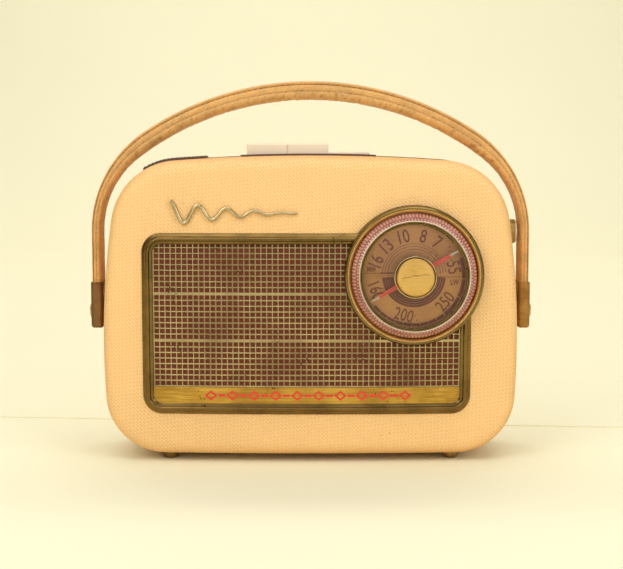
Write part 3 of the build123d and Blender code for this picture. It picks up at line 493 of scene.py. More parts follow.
def make_weave():
    """A plain cloth weave in the front view."""
    tree, given, leave = start_group(
        "weave", [("Threads per metre", "NodeSocketFloat", 1500.0)],
        [("Height", "NodeSocketFloat"), ("Tone", "NodeSocketFloat")])
    place = node(tree, "ShaderNodeTexCoord").outputs["Object"]
    part = node(tree, "ShaderNodeSeparateXYZ", {0: place})
    turn = maths(tree, "MULTIPLY", given["Threads per metre"], math.pi)
    across = maths(tree, "SINE", maths(tree, "MULTIPLY", part.outputs["X"], turn))
    along = maths(tree, "SINE", maths(tree, "MULTIPLY", part.outputs["Z"], turn))
    height = maths(tree, "MULTIPLY", across, along)
    tone = node(tree, "ShaderNodeTexNoise", {"Vector": place, "Scale": 300.0, "Detail": 4.0}).outputs["Fac"]
    leave_with(tree, leave, Height=height, Tone=tone)
    return tree


def make_mould_skin():
    """The faint unevenness and dust of a plain moulded or machined surface."""
    tree, given, leave = start_group(
        "surface skin", [("Scale", "NodeSocketFloat", 300.0)],
        [("Height", "NodeSocketFloat"), ("Tone", "NodeSocketFloat"), ("Dust", "NodeSocketFloat")])
    place = node(tree, "ShaderNodeTexCoord").outputs["Object"]
    fine = node(tree, "ShaderNodeTexNoise", {"Vector": place, "Scale": given["Scale"],
                                             "Detail": 4.0}).outputs["Fac"]
    broad = node(tree, "ShaderNodeTexNoise", {"Vector": place,
                                              "Scale": maths(tree, "MULTIPLY", given["Scale"], 0.15),
                                              "Detail": 3.0}).outputs["Fac"]
    facing = node(tree, "ShaderNodeNewGeometry").outputs["Normal"]
    up = node(tree, "ShaderNodeSeparateXYZ", {0: facing}).outputs["Z"]
    dust = maths(tree, "MULTIPLY", spread(tree, up, 0.4, 1.0), spread(tree, broad, 0.4, 0.7))
    leave_with(tree, leave, Height=fine, Tone=spread(tree, broad, 0.3, 0.7), Dust=dust)
    return tree


GROUP_MAKERS = {
    "lizard grain": make_lizard_grain, "specks": make_specks, "patina": make_patina,
    "hide grain": make_hide_grain, "weave": make_weave, "surface skin": make_mould_skin,
}


# ---------------------------------------------------------------- materials
def start_material(name, **plain):
    """A material with a Principled BSDF. plain holds the values that are the same all over."""
    made = bpy.data.materials.new(name)
    made.use_nodes = True
    tree = made.node_tree
    tree.nodes.clear()
    shader = tree.nodes.new("ShaderNodeBsdfPrincipled")
    out = tree.nodes.new("ShaderNodeOutputMaterial")
    tree.links.new(shader.outputs[0], out.inputs["Surface"])
    for label, value in plain.items():
        shader.inputs[label.replace("_", " ")].default_value = value
    return made, tree, shader


def connect(tree, shader, **sockets):
    """Feeds the shader's sockets from other nodes."""
    for label, socket in sockets.items():
        tree.links.new(socket, shader.inputs[label.replace("_", " ")])


def bump(tree, shader, height, strength, distance):
    """Relief from a height, distance deep in metres."""
    relief = node(tree, "ShaderNodeBump", {"Height": height, "Strength": strength, "Distance": distance})
    tree.links.new(relief.outputs[0], shader.inputs["Normal"])


def rgba(colour):
    """An opaque colour."""
    return (*colour, 1.0)


def shade(colour, factor):
    """A colour made lighter or darker."""
    return tuple(c * factor for c in colour)


def tint(colour, factors):
    """A colour with each of its parts changed on its own."""
    return tuple(c * factor for c, factor in zip(colour, factors))


def leatherette(name, colour):
    """The case covering: pale ridges on a deeper ground, with painted shade where it turns away from the
    front at the edges.
    """
    made, tree, shader = start_material(name, Specular_IOR_Level=0.35)
    grain = use(tree, "lizard grain", Cell=0.0021, Distort=1.0)
    skin = use(tree, "surface skin", Scale=90.0)
    deep, pale = tint(colour, (0.93, 0.82, 0.62)), tint(colour, (1.04, 1.13, 1.45))
    tone = blend_colour(tree, skin["Tone"], rgba(shade(deep, 0.97)), rgba(shade(deep, 1.04)))
    tone = blend_colour(tree, grain["Ridge"], tone, rgba(pale))
    # painted shade: the covering is darkened where it faces away from the front, over its sides, top and
    # rounded edges, in uneven patches
    turning = node(tree, "ShaderNodeSeparateXYZ", {0: node(tree, "ShaderNodeNewGeometry").outputs["Normal"]})
    edge = spread(tree, maths(tree, "ABSOLUTE", turning.outputs["Y"]), 0.93, 0.45)
    turned_shade = maths(tree, "MULTIPLY", edge, spread(tree, skin["Tone"], 0.0, 1.0, 0.25, 0.6))
    tone = blend_colour(tree, turned_shade, tone, rgba(tint(colour, (0.78, 0.6, 0.36))))
    dirt = use(tree, "specks", Scale=230.0, Amount=0.12)["Mask"]
    tone = blend_colour(tree, maths(tree, "MULTIPLY", dirt, 0.5), tone, (0.2, 0.09, 0.03, 1))
    rough = spread(tree, grain["Ridge"], 0.0, 1.0, 0.58, 0.42)
    connect(tree, shader, Base_Color=tone, Roughness=rough)
    bump(tree, shader, grain["Height"], 0.8, 0.00022)
    return made


def brass(name, metal, tarnish, amount, scale=60.0, polish=0.25, relief=0.35, spots=0.42):
    """Aged brass."""
    made, tree, shader = start_material(name, Metallic=1.0)
    worn = use(tree, "patina", Metal=rgba(metal), Tarnish=rgba(tarnish), Amount=amount, Scale=scale,
               Polish=polish, Spots=spots)
    connect(tree, shader, Base_Color=worn["Color"], Roughness=worn["Roughness"])
    bump(tree, shader, worn["Height"], relief, 0.00008)
    return made


def brushed_brass(name, metal, tarnish):
    """Brass with a long brushed grain along X."""
    made, tree, shader = start_material(name, Metallic=1.0)
    place = node(tree, "ShaderNodeTexCoord").outputs["Object"]
    streak = node(tree, "ShaderNodeMapping", {"Vector": place, "Scale": (14.0, 900.0, 1500.0)}).outputs[0]
    line = node(tree, "ShaderNodeTexNoise", {"Vector": streak, "Scale": 1.0, "Detail": 5.0}).outputs["Fac"]
    line = spread(tree, line, 0.3, 0.7)
    worn = use(tree, "patina", Metal=rgba(metal), Tarnish=rgba(tarnish), Amount=0.45, Scale=45.0, Polish=0.34)
    tone = blend_colour(tree, maths(tree, "MULTIPLY", line, 0.55), worn["Color"], rgba(shade(tarnish, 0.9)))
    connect(tree, shader, Base_Color=tone, Roughness=worn["Roughness"])
    bump(tree, shader, line, 0.3, 0.00006)
    return made


def cap_brass(name, metal, tarnish):
    """The hub cap's bright brass, with one crooked hairline scratch."""
    made, tree, shader = start_material(name, Metallic=1.0)
    worn = use(tree, "patina", Metal=rgba(metal), Tarnish=rgba(tarnish), Amount=0.5, Scale=70.0, Polish=0.36,
               Spots=0.18)
    place = node(tree, "ShaderNodeTexCoord").outputs["Object"]
    part = node(tree, "ShaderNodeSeparateXYZ", {0: place})
    wander = node(tree, "ShaderNodeTexNoise", {"Vector": place, "Scale": 170.0, "Detail": 2.0}).outputs["Fac"]
    across = maths(tree, "SUBTRACT", part.outputs["X"], DIAL.x)
    level = maths(tree, "SUBTRACT", part.outputs["Z"], DIAL.z + 0.9 * MM)
    level = maths(tree, "SUBTRACT", level, maths(tree, "MULTIPLY", across, 0.13))
    level = maths(tree, "ADD", level, maths(tree, "MULTIPLY", maths(tree, "SUBTRACT", wander, 0.5), 3.0 * MM))
    thin = maths(tree, "LESS_THAN", maths(tree, "ABSOLUTE", level), 0.16 * MM)
    short = maths(tree, "LESS_THAN", maths(tree, "ABSOLUTE", across), 8.6 * MM)
    scratch = maths(tree, "MULTIPLY", thin, short)
    tone = blend_colour(tree, scratch, worn["Color"], (0.12, 0.06, 0.015, 1))
    connect(tree, shader, Base_Color=tone, Roughness=worn["Roughness"])
    bump(tree, shader, maths(tree, "SUBTRACT", worn["Height"], scratch), 0.3, 0.00008)
    return made


def ferrule_brass(name):
    """Folded brass, dark bronze on the left end and golden on the right one."""
    made, tree, shader = start_material(name, Metallic=1.0)
    place = node(tree, "ShaderNodeTexCoord").outputs["Object"]
    side = maths(tree, "GREATER_THAN", node(tree, "ShaderNodeSeparateXYZ", {0: place}).outputs["X"], 0.0)
    metal = blend_colour(tree, side, (0.24, 0.12, 0.045, 1), (0.46, 0.235, 0.06, 1))
    tarnish = blend_colour(tree, side, (0.10, 0.045, 0.02, 1), (0.26, 0.12, 0.03, 1))
    worn = use(tree, "patina", Metal=metal, Tarnish=tarnish, Amount=0.7, Scale=90.0, Polish=0.34)
    connect(tree, shader, Base_Color=worn["Color"], Roughness=worn["Roughness"])
    bump(tree, shader, worn["Height"], 0.4, 0.0001)
    return made


def fluted_rim(name, high, low):
    """Rosy clear plastic. Its flutes carry painted shade at their roots and in the groove between their rows.
    """
    made, tree, shader = start_material(name, Roughness=0.12, Coat_Weight=0.6, Coat_Roughness=0.04)
    groove = node(tree, "ShaderNodeAttribute", attribute_name="groove").outputs["Fac"]
    skin = use(tree, "surface skin", Scale=500.0)
    # painted shade: the groove attribute blends in the dark colour at the flutes' roots and between their
    # rows
    tone = blend_colour(tree, groove, rgba(high), rgba(low))
    tone = blend_colour(tree, maths(tree, "MULTIPLY", skin["Tone"], 0.3), tone, (0.75, 0.45, 0.36, 1))
    connect(tree, shader, Base_Color=tone)
    bump(tree, shader, skin["Height"], 0.15, 0.0001)
    return made


def moulded(name, colour, roughness=0.35, scale=300.0, relief=0.12, metallic=0.0, variation=0.1, coat=0.0):
    """Plain moulded plastic, enamel or machined metal."""
    made, tree, shader = start_material(name, Metallic=metallic, Coat_Weight=coat)
    skin = use(tree, "surface skin", Scale=scale)
    tone = blend_colour(tree, skin["Tone"], rgba(shade(colour, 1 - variation)),
                        rgba(shade(colour, 1 + variation)))
    tone = blend_colour(tree, maths(tree, "MULTIPLY", skin["Dust"], 0.12), tone, (0.55, 0.48, 0.36, 1))
    rough = spread(tree, skin["Tone"], 0.0, 1.0, roughness * 0.85, roughness * 1.15)
    connect(tree, shader, Base_Color=tone, Roughness=rough)
    bump(tree, shader, skin["Height"], relief, 0.00006)
    return made


def hide(name, colour, dark):
    """Strap leather, with painted shade in its creases and seams."""
    made, tree, shader = start_material(name, Specular_IOR_Level=0.4, Sheen_Weight=0.08)
    grain = use(tree, "hide grain", Scale=820.0)
    crease = node(tree, "ShaderNodeAttribute", attribute_name="crease").outputs["Fac"]
    tone = blend_colour(tree, grain["Mottle"], rgba(shade(colour, 0.9)), rgba(shade(colour, 1.1)))
    tone = blend_colour(tree, maths(tree, "MULTIPLY", grain["Pores"], 0.35), tone, rgba(dark))
    # painted shade in the creases of the inner roll and in the seams' grooves, carried by the crease
    # attribute
    tone = blend_colour(tree, maths(tree, "MULTIPLY", crease, 0.75), tone, rgba(shade(dark, 0.7)))
    marks = use(tree, "specks", Scale=620.0, Amount=0.25)["Mask"]
    tone = blend_colour(tree, maths(tree, "MULTIPLY", marks, 0.45), tone, rgba(shade(dark, 0.6)))
    rough = spread(tree, grain["Mottle"], 0.0, 1.0, 0.5, 0.62)
    connect(tree, shader, Base_Color=tone, Roughness=rough)
    bump(tree, shader, grain["Height"], 0.5, 0.00022)
    return made


def clear_plastic(name, colour):
    """Clear moulded plastic, very slightly tinted."""
    made, tree, shader = start_material(name, Transmission_Weight=1.0, IOR=1.3, Roughness=0.03)
    skin = use(tree, "surface skin", Scale=160.0)
    tone = blend_colour(tree, skin["Tone"], rgba(shade(colour, 0.97)), rgba(colour))
    connect(tree, shader, Base_Color=tone)
    return made


def cloth(name, colour):
    """Plainly woven cloth."""
    made, tree, shader = start_material(name, Roughness=0.85, Sheen_Weight=0.15)
    fabric = use(tree, "weave", Threads_per_metre=1400.0)
    tone = blend_colour(tree, fabric["Tone"], rgba(shade(colour, 0.6)), rgba(shade(colour, 1.5)))
    connect(tree, shader, Base_Color=tone)
    bump(tree, shader, fabric["Height"], 0.5, 0.0002)
    return made


MATERIALS = {}


def material(name):
    """A finished material, made the first time it is asked for."""
    if name not in MATERIALS:
        MATERIALS[name] = MATERIAL_MAKERS[name](name)
    return MATERIALS[name]


def colours():
    """The colours that the user may change."""
    return bpy.context.scene.radio_colours


# Aged brass takes metal, tarnish, amount, scale, polish, relief and spots. Moulded plastic, enamel and
# machined metal take colour, roughness, scale, relief and metallic.
MATERIAL_MAKERS = {
    "leatherette": lambda name: leatherette(name, tuple(colours().case)),
    "bezel brass": lambda name: brass(name, (0.225, 0.142, 0.045), (0.085, 0.05, 0.015), 0.5, 42.0, 0.08),
    # a dark copy of the dial ring's brass: painted shade on the ring's band, beside the bright copy on its
    # cone; the knob's brass lip shares it
    "dial brass": lambda name: brass(name, (0.25, 0.175, 0.06), (0.11, 0.07, 0.02), 0.5, 50.0, 0.1),
    "sheet brass": lambda name: brass(name, (0.46, 0.35, 0.175), (0.22, 0.145, 0.06), 0.6, 30.0, 0.22),
    "strip brass": lambda name: brushed_brass(name, (0.69, 0.415, 0.08), (0.28, 0.135, 0.018)),
    "emblem brass": lambda name: brass(name, (0.60, 0.50, 0.28), (0.24, 0.17, 0.065), 0.4, 120.0, 0.06, 0.05,
                                       0.1),
    # a bright copy of the dial ring's brass: painted light on the ring's inner cone
    "lit cone brass": lambda name: brass(name, (0.80, 0.52, 0.17), (0.50, 0.29, 0.08), 0.5, 80.0, 0.4, 0.2, 0.2),
    # a pale glossy ring that paints a highlight near the fluted rim's inner edge
    "rim glint": lambda name: moulded(name, (0.86, 0.74, 0.62), 0.15, coat=0.6),
    "cap brass": lambda name: cap_brass(name, (0.71, 0.445, 0.135), (0.56, 0.325, 0.075)),
    "trim brass": lambda name: brass(name, (0.40, 0.33, 0.16), (0.12, 0.09, 0.04), 0.6, 50.0, 0.3),
    "foot brass": lambda name: brass(name, (0.40, 0.26, 0.09), (0.09, 0.05, 0.02), 0.8, 140.0, 0.38),
    "ferrule brass": ferrule_brass,
    "pivot brass": lambda name: brass(name, (0.55, 0.36, 0.12), (0.15, 0.08, 0.02), 0.6, 120.0, 0.25),
    "screw brass": lambda name: brass(name, (0.60, 0.44, 0.18), (0.2, 0.12, 0.04), 0.5, 120.0, 0.28),
    "knob brass": lambda name: brass(name, (0.50, 0.33, 0.11), (0.15, 0.085, 0.025), 0.6, 120.0, 0.3),
    "strap leather": lambda name: hide(name, tuple(colours().strap), (0.36, 0.16, 0.045)),
    "thread": lambda name: moulded(name, (0.62, 0.40, 0.18), 0.7, 2500.0, 0.4),
    "dark thread": lambda name: moulded(name, (0.24, 0.115, 0.035), 0.75, 2500.0, 0.4),
    "grille cloth": lambda name: cloth(name, (0.17, 0.034, 0.013)),
    "scale plate": lambda name: brass(name, (0.50, 0.26, 0.10), (0.36, 0.17, 0.06), 0.35, 26.0, 0.42, 0.1),
    "dial print": lambda name: moulded(name, tuple(colours().print), 0.45),
    "red print": lambda name: moulded(name, (0.72, 0.035, 0.015), 0.4),
    "pointer red": lambda name: moulded(name, (0.80, 0.055, 0.02), 0.3, coat=0.3),
    "pointer tip": lambda name: moulded(name, (0.62, 0.50, 0.36), 0.35, coat=0.3),
    "clear knob": lambda name: clear_plastic(name, (1.0, 0.965, 0.93)),
    # the second colour is painted shade at the flutes' roots
    "fluted rim": lambda name: fluted_rim(name, (0.62, 0.30, 0.24), (0.30, 0.085, 0.06)),
    "rim backing": lambda name: moulded(name, (0.50, 0.22, 0.17), 0.4),
    "key ivory": lambda name: moulded(name, tuple(colours().key), 0.32, 120.0, 0.08, variation=0.05,
                                      coat=0.2),
    "escutcheon brown": lambda name: moulded(name, (0.11, 0.05, 0.025), 0.4),
    "socket brown": lambda name: moulded(name, (0.09, 0.035, 0.02), 0.42),
    "knob face": lambda name: moulded(name, (0.80, 0.62, 0.38), 0.35),
    "board wood": lambda name: moulded(name, (0.36, 0.22, 0.12), 0.7, 600.0, 0.4),
    "bright metal": lambda name: moulded(name, (0.72, 0.72, 0.70), 0.34, 900.0, 0.2, 1.0),
    "steel": lambda name: moulded(name, (0.55, 0.55, 0.55), 0.36, 700.0, 0.2, 1.0),
    "black enamel": lambda name: moulded(name, (0.02, 0.02, 0.022), 0.35),
    "grey enamel": lambda name: moulded(name, (0.16, 0.19, 0.21), 0.45),
    "cone paper": lambda name: moulded(name, (0.035, 0.033, 0.03), 0.85, 1800.0, 0.6),
    "laminate": lambda name: moulded(name, (0.32, 0.16, 0.055), 0.4),
    "blue sleeve": lambda name: moulded(name, (0.05, 0.10, 0.30), 0.3),
    "ferrite": lambda name: moulded(name, (0.045, 0.045, 0.05), 0.55),
    "winding": lambda name: moulded(name, (0.36, 0.12, 0.035), 0.5, 2600.0, 0.5),
    "cream plastic": lambda name: moulded(name, (0.72, 0.65, 0.5), 0.4),
    "dark plastic": lambda name: moulded(name, (0.05, 0.045, 0.04), 0.45),
    "cell jacket": lambda name: moulded(name, (0.45, 0.05, 0.03), 0.35),
}

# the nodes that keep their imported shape, and their finishes
PLAIN_NODES = {
    "front_shell": "leatherette", "rear_cover": "leatherette", "trim_band": "trim brass",
    "feet_front": "foot brass", "feet_rear": "foot brass", "baffle_board": "board wood",
    "dial_plate": "scale plate", "knob_cap": "cap brass", "tuning_shaft": "steel",
    "capacitor_frame": "bright metal", "capacitor_stator": "bright metal", "capacitor_rotor": "bright metal",
    "speaker_frame": "steel", "speaker_cone": "cone paper", "speaker_magnet": "grey enamel",
    "circuit_board": "laminate", "if_cans": "bright metal", "transistors": "black enamel",
    "electrolytics": "blue sleeve", "transformers": "black enamel", "board_pillars": "screw brass",
    "chassis_screws": "steel", "ferrite_rod": "ferrite", "aerial_coils": "winding",
    "rod_holders": "cream plastic", "battery_tray": "dark plastic", "battery_cells": "cell jacket",
    "battery_contacts": "bright metal", "key_escutcheon": "escutcheon brown", "key_cap_left": "key ivory",
    "key_cap_middle": "key ivory", "key_cap_right": "key ivory", "key_plunger_left": "steel",
    "key_plunger_middle": "steel", "key_plunger_right": "steel", "key_spring_right": "steel",
    "switch_frame": "steel", "switch_contacts": "laminate", "volume_pot": "steel", "volume_shaft": "steel",
    "volume_knob": "knob brass", "volume_knob_face": "knob face", "ferrules": "ferrule brass",
    "pivot_screws": "pivot brass", "pivot_bushes": "pivot brass", "pivot_nuts": "steel",
    "cover_screw_left": "screw brass", "cover_screw_right": "screw brass", "cover_posts": "bright metal",
}


# ---------------------------------------------------------------- operators
class RADIO_OT_plain_nodes(bpy.types.Operator):
    """Gives each CAD node that keeps its shape its own finish"""

    bl_idname = "radio.plain_nodes"
    bl_label = "Finish Plain Nodes"

    def execute(self, context):
        for name, finish in PLAIN_NODES.items():
            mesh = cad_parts[name].data
            mesh.materials.clear()
            mesh.materials.append(material(finish))
            mesh.polygons.foreach_set("material_index", [0] * len(mesh.polygons))
        return {"FINISHED"}


class RADIO_OT_grille_cloth(bpy.types.Operator):
    """Stretches the dark red cloth over the baffle, behind the grille sheet"""

    bl_idname = "radio.grille_cloth"
    bl_label = "Add Grille Cloth"

    THREAD = 1.0 * MM                    # from one crossing of the threads to the next
    RELIEF = 0.07 * MM                   # how far a thread rises over the next
    THICKNESS = 0.2 * MM
    DEPTH = 1.32 * MM                    # behind the case's front

    def execute(self, context):
        low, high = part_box("grille_cloth")
        width, height = high.x - low.x, high.z - low.z
        columns, rows = round(width / self.THREAD), round(height / self.THREAD)
        bm = bmesh.new()
        bmesh.ops.create_grid(bm, x_segments=columns, y_segments=rows, size=0.5)
        for v in bm.verts:
            i, j = round((v.co.x + 0.5) * columns), round((v.co.y + 0.5) * rows)
            over = 1 if (i + j) % 2 else -1
            v.co = Vector((low.x + i * width / columns, low.z + j * height / rows, over * self.RELIEF))
        clear_dial(bm, 2 * MM)
        lay_on_case(bm, self.DEPTH)
        weave = add_piece("grille_weave", bm, "case", "grille cloth", ("grille_cloth",), 80.0,
                          recalc=False)
        wall = weave.modifiers.new("thickness", "SOLIDIFY")
        wall.thickness = self.THICKNESS
        wall.offset = -1.0
        return {"FINISHED"}


class RADIO_OT_grille_sheet(bpy.types.Operator):
    """Punches the brass grille sheet with bands of small square holes"""

    bl_idname = "radio.grille_sheet"
    bl_label = "Add Grille Sheet"

    MARGIN = 3 * MM                      # plain metal left and right of the holes, together
    STRIP_TOP = 12.9 * MM                # the lowest holes begin here, above the sheet's lower edge
    BAR = 1.1 * MM                       # plain bar between two bands
    LOWEST_BAR = 0.6 * MM
    FLAT_SHARE, ROUND_SHARE = 0.55, 0.45    # of the web: its flat middle, and its rounded edge
    ROUND_DEPTH = 0.22 * MM
    DEPTH = 0.3 * MM                     # behind the case's front

    def levels(self, sizes):
        """Heights of the grid's lines, and the numbers of the rows that are punched."""
        levels, punched = [FIELD_LOW.z + self.STRIP_TOP], []
        for band in range(sizes.bands):
            levels.append(levels[-1] + (self.BAR if band else self.LOWEST_BAR))
            top_band = band == sizes.bands - 1
            for _ in range(sizes.rows + top_band):
                punched.append(len(levels) - 1)
                levels.append(levels[-1] + sizes.pitch)
        return levels + [FIELD_HIGH.z], punched

    def execute(self, context):
        sizes = context.scene.radio_grille
        left, right = FIELD_LOW.x, FIELD_HIGH.x
        columns = int((right - left - self.MARGIN) / sizes.pitch)
        grid_left = (left + right) / 2 - columns * sizes.pitch / 2
        xs = [left] + [grid_left + i * sizes.pitch for i in range(columns + 1)] + [right]
        levels, rows = self.levels(sizes)
        bm = bmesh.new()
        bmesh.ops.create_grid(bm, x_segments=len(xs) - 1, y_segments=len(levels) - 1, size=0.5)
        for v in bm.verts:
            i, j = round((v.co.x + 0.5) * (len(xs) - 1)), round((v.co.y + 0.5) * (len(levels) - 1))
            v.co = Vector((xs[i], levels[j], 0))
        bounds = [(levels[i], levels[i + 1]) for i in rows]
        punched = []
        for face in bm.faces:
            spot = face.calc_center_median()
            if xs[1] < spot.x < xs[-2] and any(low < spot.y < high for low, high in bounds):
                punched.append(face)
        bmesh.ops.inset_individual(bm, faces=punched, thickness=sizes.web * self.FLAT_SHARE, depth=0.0)
        bmesh.ops.inset_individual(bm, faces=punched, thickness=sizes.web * self.ROUND_SHARE,
                                   depth=-self.ROUND_DEPTH)
        floors = bmesh.ops.extrude_discrete_faces(bm, faces=punched)["faces"]
        verts = list({v for f in floors for v in f.verts})
        bmesh.ops.translate(bm, verts=verts, vec=(0, 0, -sizes.thickness))
        bmesh.ops.delete(bm, geom=floors, context="FACES")
        clear_dial(bm, 2.2 * MM)
        lay_on_case(bm, self.DEPTH)
        add_piece("grille_sheet", bm, "case", "sheet brass", ("grille_panel",), 30.0,
                  recalc=False)
        return {"FINISHED"}


class RADIO_OT_grille_frame(bpy.types.Operator):
    """Rolls the raised brass frame round the grille"""

    bl_idname = "radio.grille_frame"
    bl_label = "Add Grille Frame"

    CORNER_R = 12 * MM
    BEND = 6 * MM                        # length of the pieces that follow the crown
    # the rolled section: inset from the outer edge, and height above the case, in mm
    SECTION = ((0.0, 0.0), (0.05, 0.6), (0.4, 0.95), (1.7, 1.25), (2.1, 1.75), (2.6, 2.45), (3.2, 2.95),
               (3.9, 3.1), (4.5, 2.75), (4.9, 2.1), (5.1, 1.5), (6.5, 1.0), (6.85, 0.6), (6.9, -0.7))

    def execute(self, context):
        bm = bmesh.new()
        low, high = (BEZEL_LOW.x, BEZEL_LOW.z), (BEZEL_HIGH.x, BEZEL_HIGH.z)
        faces = rounded_sheet(bm, low, high, self.CORNER_R, 12)
        for (inset, height), (next_inset, next_height) in zip(self.SECTION, self.SECTION[1:]):
            bmesh.ops.inset_region(bm, faces=faces, thickness=(next_inset - inset) * MM,
                                   depth=(next_height - height) * MM, use_boundary=True, use_even_offset=True)
        bmesh.ops.delete(bm, geom=faces, context="FACES")
        for axis in (0, 1):
            cross_cut(bm, self.BEND, axis, low[axis], high[axis])
        clear_dial(bm, 3 * MM)
        lay_on_case(bm)
        add_piece("grille_frame", bm, "case", "bezel brass", ("grille_bezel",), 50.0,
                  recalc=False)
        return {"FINISHED"}


class RADIO_OT_brass_strip(bpy.types.Operator):
    """Lays the plain brass strip under the holes, with its row of red ornaments"""

    bl_idname = "radio.brass_strip"
    bl_label = "Add Brass Strip"

    MARGIN = 1 * MM                      # between the strip and the sheet's edge
    TOP = 13.0 * MM                      # above the sheet's lower edge
    THICKNESS = 0.35 * MM
    # the row of ornaments
    MIDDLE = 7.8 * MM                    # above the sheet's lower edge
    LEFT, RIGHT, COUNT = -63 * MM, 60 * MM, 19
    LOZENGE, BAR = (4.1, 3.3, 1), (3.2, 1.1, 1)
    LINE = 1.15 * MM                     # the lozenge's line
    PROUD, PAINT = 0.3 * MM, 0.25 * MM

    def execute(self, context):
        low = (FIELD_LOW.x + self.MARGIN, FIELD_LOW.z + self.MARGIN)
        high = (FIELD_HIGH.x - self.MARGIN, FIELD_LOW.z + self.TOP)
        bm = bmesh.new()
        rounded_sheet(bm, low, high, 0.5 * MM, 2)
        cross_cut(bm, 5 * MM, 0, low[0], high[0])
        thicken(bm, self.THICKNESS)
        lay_on_case(bm)
        add_piece("brass_strip", bm, "case", "strip brass")
        self.ornaments()
        return {"FINISHED"}

    def ornaments(self):
        """Red lozenges and bars, in a plain repeating row."""
        bm = bmesh.new()
        for i in range(self.COUNT):
            lozenge = i % 2 == 0
            part = bmesh.new()
            verts = bmesh.ops.create_circle(part, cap_ends=True, segments=4, radius=1 * MM)["verts"]
            turn = Matrix.Rotation(0 if lozenge else math.pi / 4, 3, "Z")
            bmesh.ops.rotate(part, verts=verts, cent=(0, 0, 0), matrix=turn)
            bmesh.ops.scale(part, verts=verts, vec=self.LOZENGE if lozenge else self.BAR)
            if lozenge:
                hole = part.faces[:]
                bmesh.ops.inset_region(part, faces=hole, thickness=self.LINE, use_boundary=True,
                                       use_even_offset=True)
                bmesh.ops.delete(part, geom=hole, context="FACES")
            thicken(part, self.PAINT)
            x = self.LEFT + (self.RIGHT - self.LEFT) * i / (self.COUNT - 1)
            bmesh.ops.translate(part, verts=part.verts, vec=(x, FIELD_LOW.z + self.MIDDLE, self.PROUD))
            join(bm, part)
        lay_on_case(bm)
        add_piece("strip_ornaments", bm, "case", "red print")


class RADIO_OT_wave_emblem(bpy.types.Operator):
    """Bends the plain wave ornament from brass rod"""

    bl_idname = "radio.wave_emblem"
    bl_label = "Add Wave Emblem"

    ROD_R = 1.35 * MM
    PROUD = 1.3 * MM                     # of the rod's centre line
    MIDDLE_Z = 159.5 * MM
    SWING = 7.4 * MM                     # the first and widest swing, up or down
    HALF_WAVES = 9
    STEPS = 72
    PIN_R, PIN_LENGTH = 0.7 * MM, 1.6 * MM
    PINS = (0.02, 0.45, 0.97)            # shares of the length where a pin holds the rod

    def execute(self, context):
        low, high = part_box("wave_emblem")
        start, length = low.x + 1 * MM, high.x - low.x - 2 * MM
        points = []
        for i in range(self.STEPS + 1):
            share = i / self.STEPS
            swing = self.SWING * (1 - share) ** 1.4 * math.cos(self.HALF_WAVES * math.pi * share)
            x, z = start + length * share, self.MIDDLE_Z + swing
            points.append((x, crown_y(x, z, self.PROUD), z))
        bm = rod_mesh(points, self.ROD_R, taper=lambda share: 1.0 - 0.4 * share)
        upright = Matrix.Rotation(math.pi / 2, 4, "X")
        for share in self.PINS:
            x, y, z = points[round(share * self.STEPS)]
            bmesh.ops.create_cone(bm, cap_ends=True, segments=12, radius1=self.PIN_R, radius2=self.PIN_R,
                                  depth=self.PIN_LENGTH,
                                  matrix=Matrix.Translation((x, y + 0.5 * MM, z)) @ upright)
        add_piece("emblem_rod", bm, "case", "emblem brass", ("wave_emblem",), 60.0)
        return {"FINISHED"}


class RADIO_OT_dial_ring(bpy.types.Operator):
    """Turns the dial's brass ring: a dark rounded band, a fine step and a bright inner cone; the dark and the
    bright brass are painted shade and painted light on one metal
    """

    bl_idname = "radio.dial_ring"
    bl_label = "Add Dial Ring"

    # sections: radius, and depth behind the crown, in mm
    BAND = ((41.5, -4.0), (41.9, -4.35), (42.6, -4.4), (43.3, -3.9), (43.75, -2.9), (43.8, -1.5), (43.8, 3.0),
            (41.0, 3.0))
    CONE = ((39.9, -2.2), (40.1, -2.7), (40.9, -3.5), (41.2, -3.6), (41.3, -4.05), (41.65, -4.1),
            (41.65, 8.9), (39.9, 8.9))
    STEPS = 144

    def execute(self, context):
        # the band and the cone take shaded and lit copies of one brass: painted shade and painted light
        add_piece("dial_ring_band", turned_ring(self.BAND, self.STEPS), "case", "dial brass",
                  ("dial_bezel",))
        add_piece("dial_ring_cone", turned_ring(self.CONE, self.STEPS), "case", "lit cone brass")
        return {"FINISHED"}


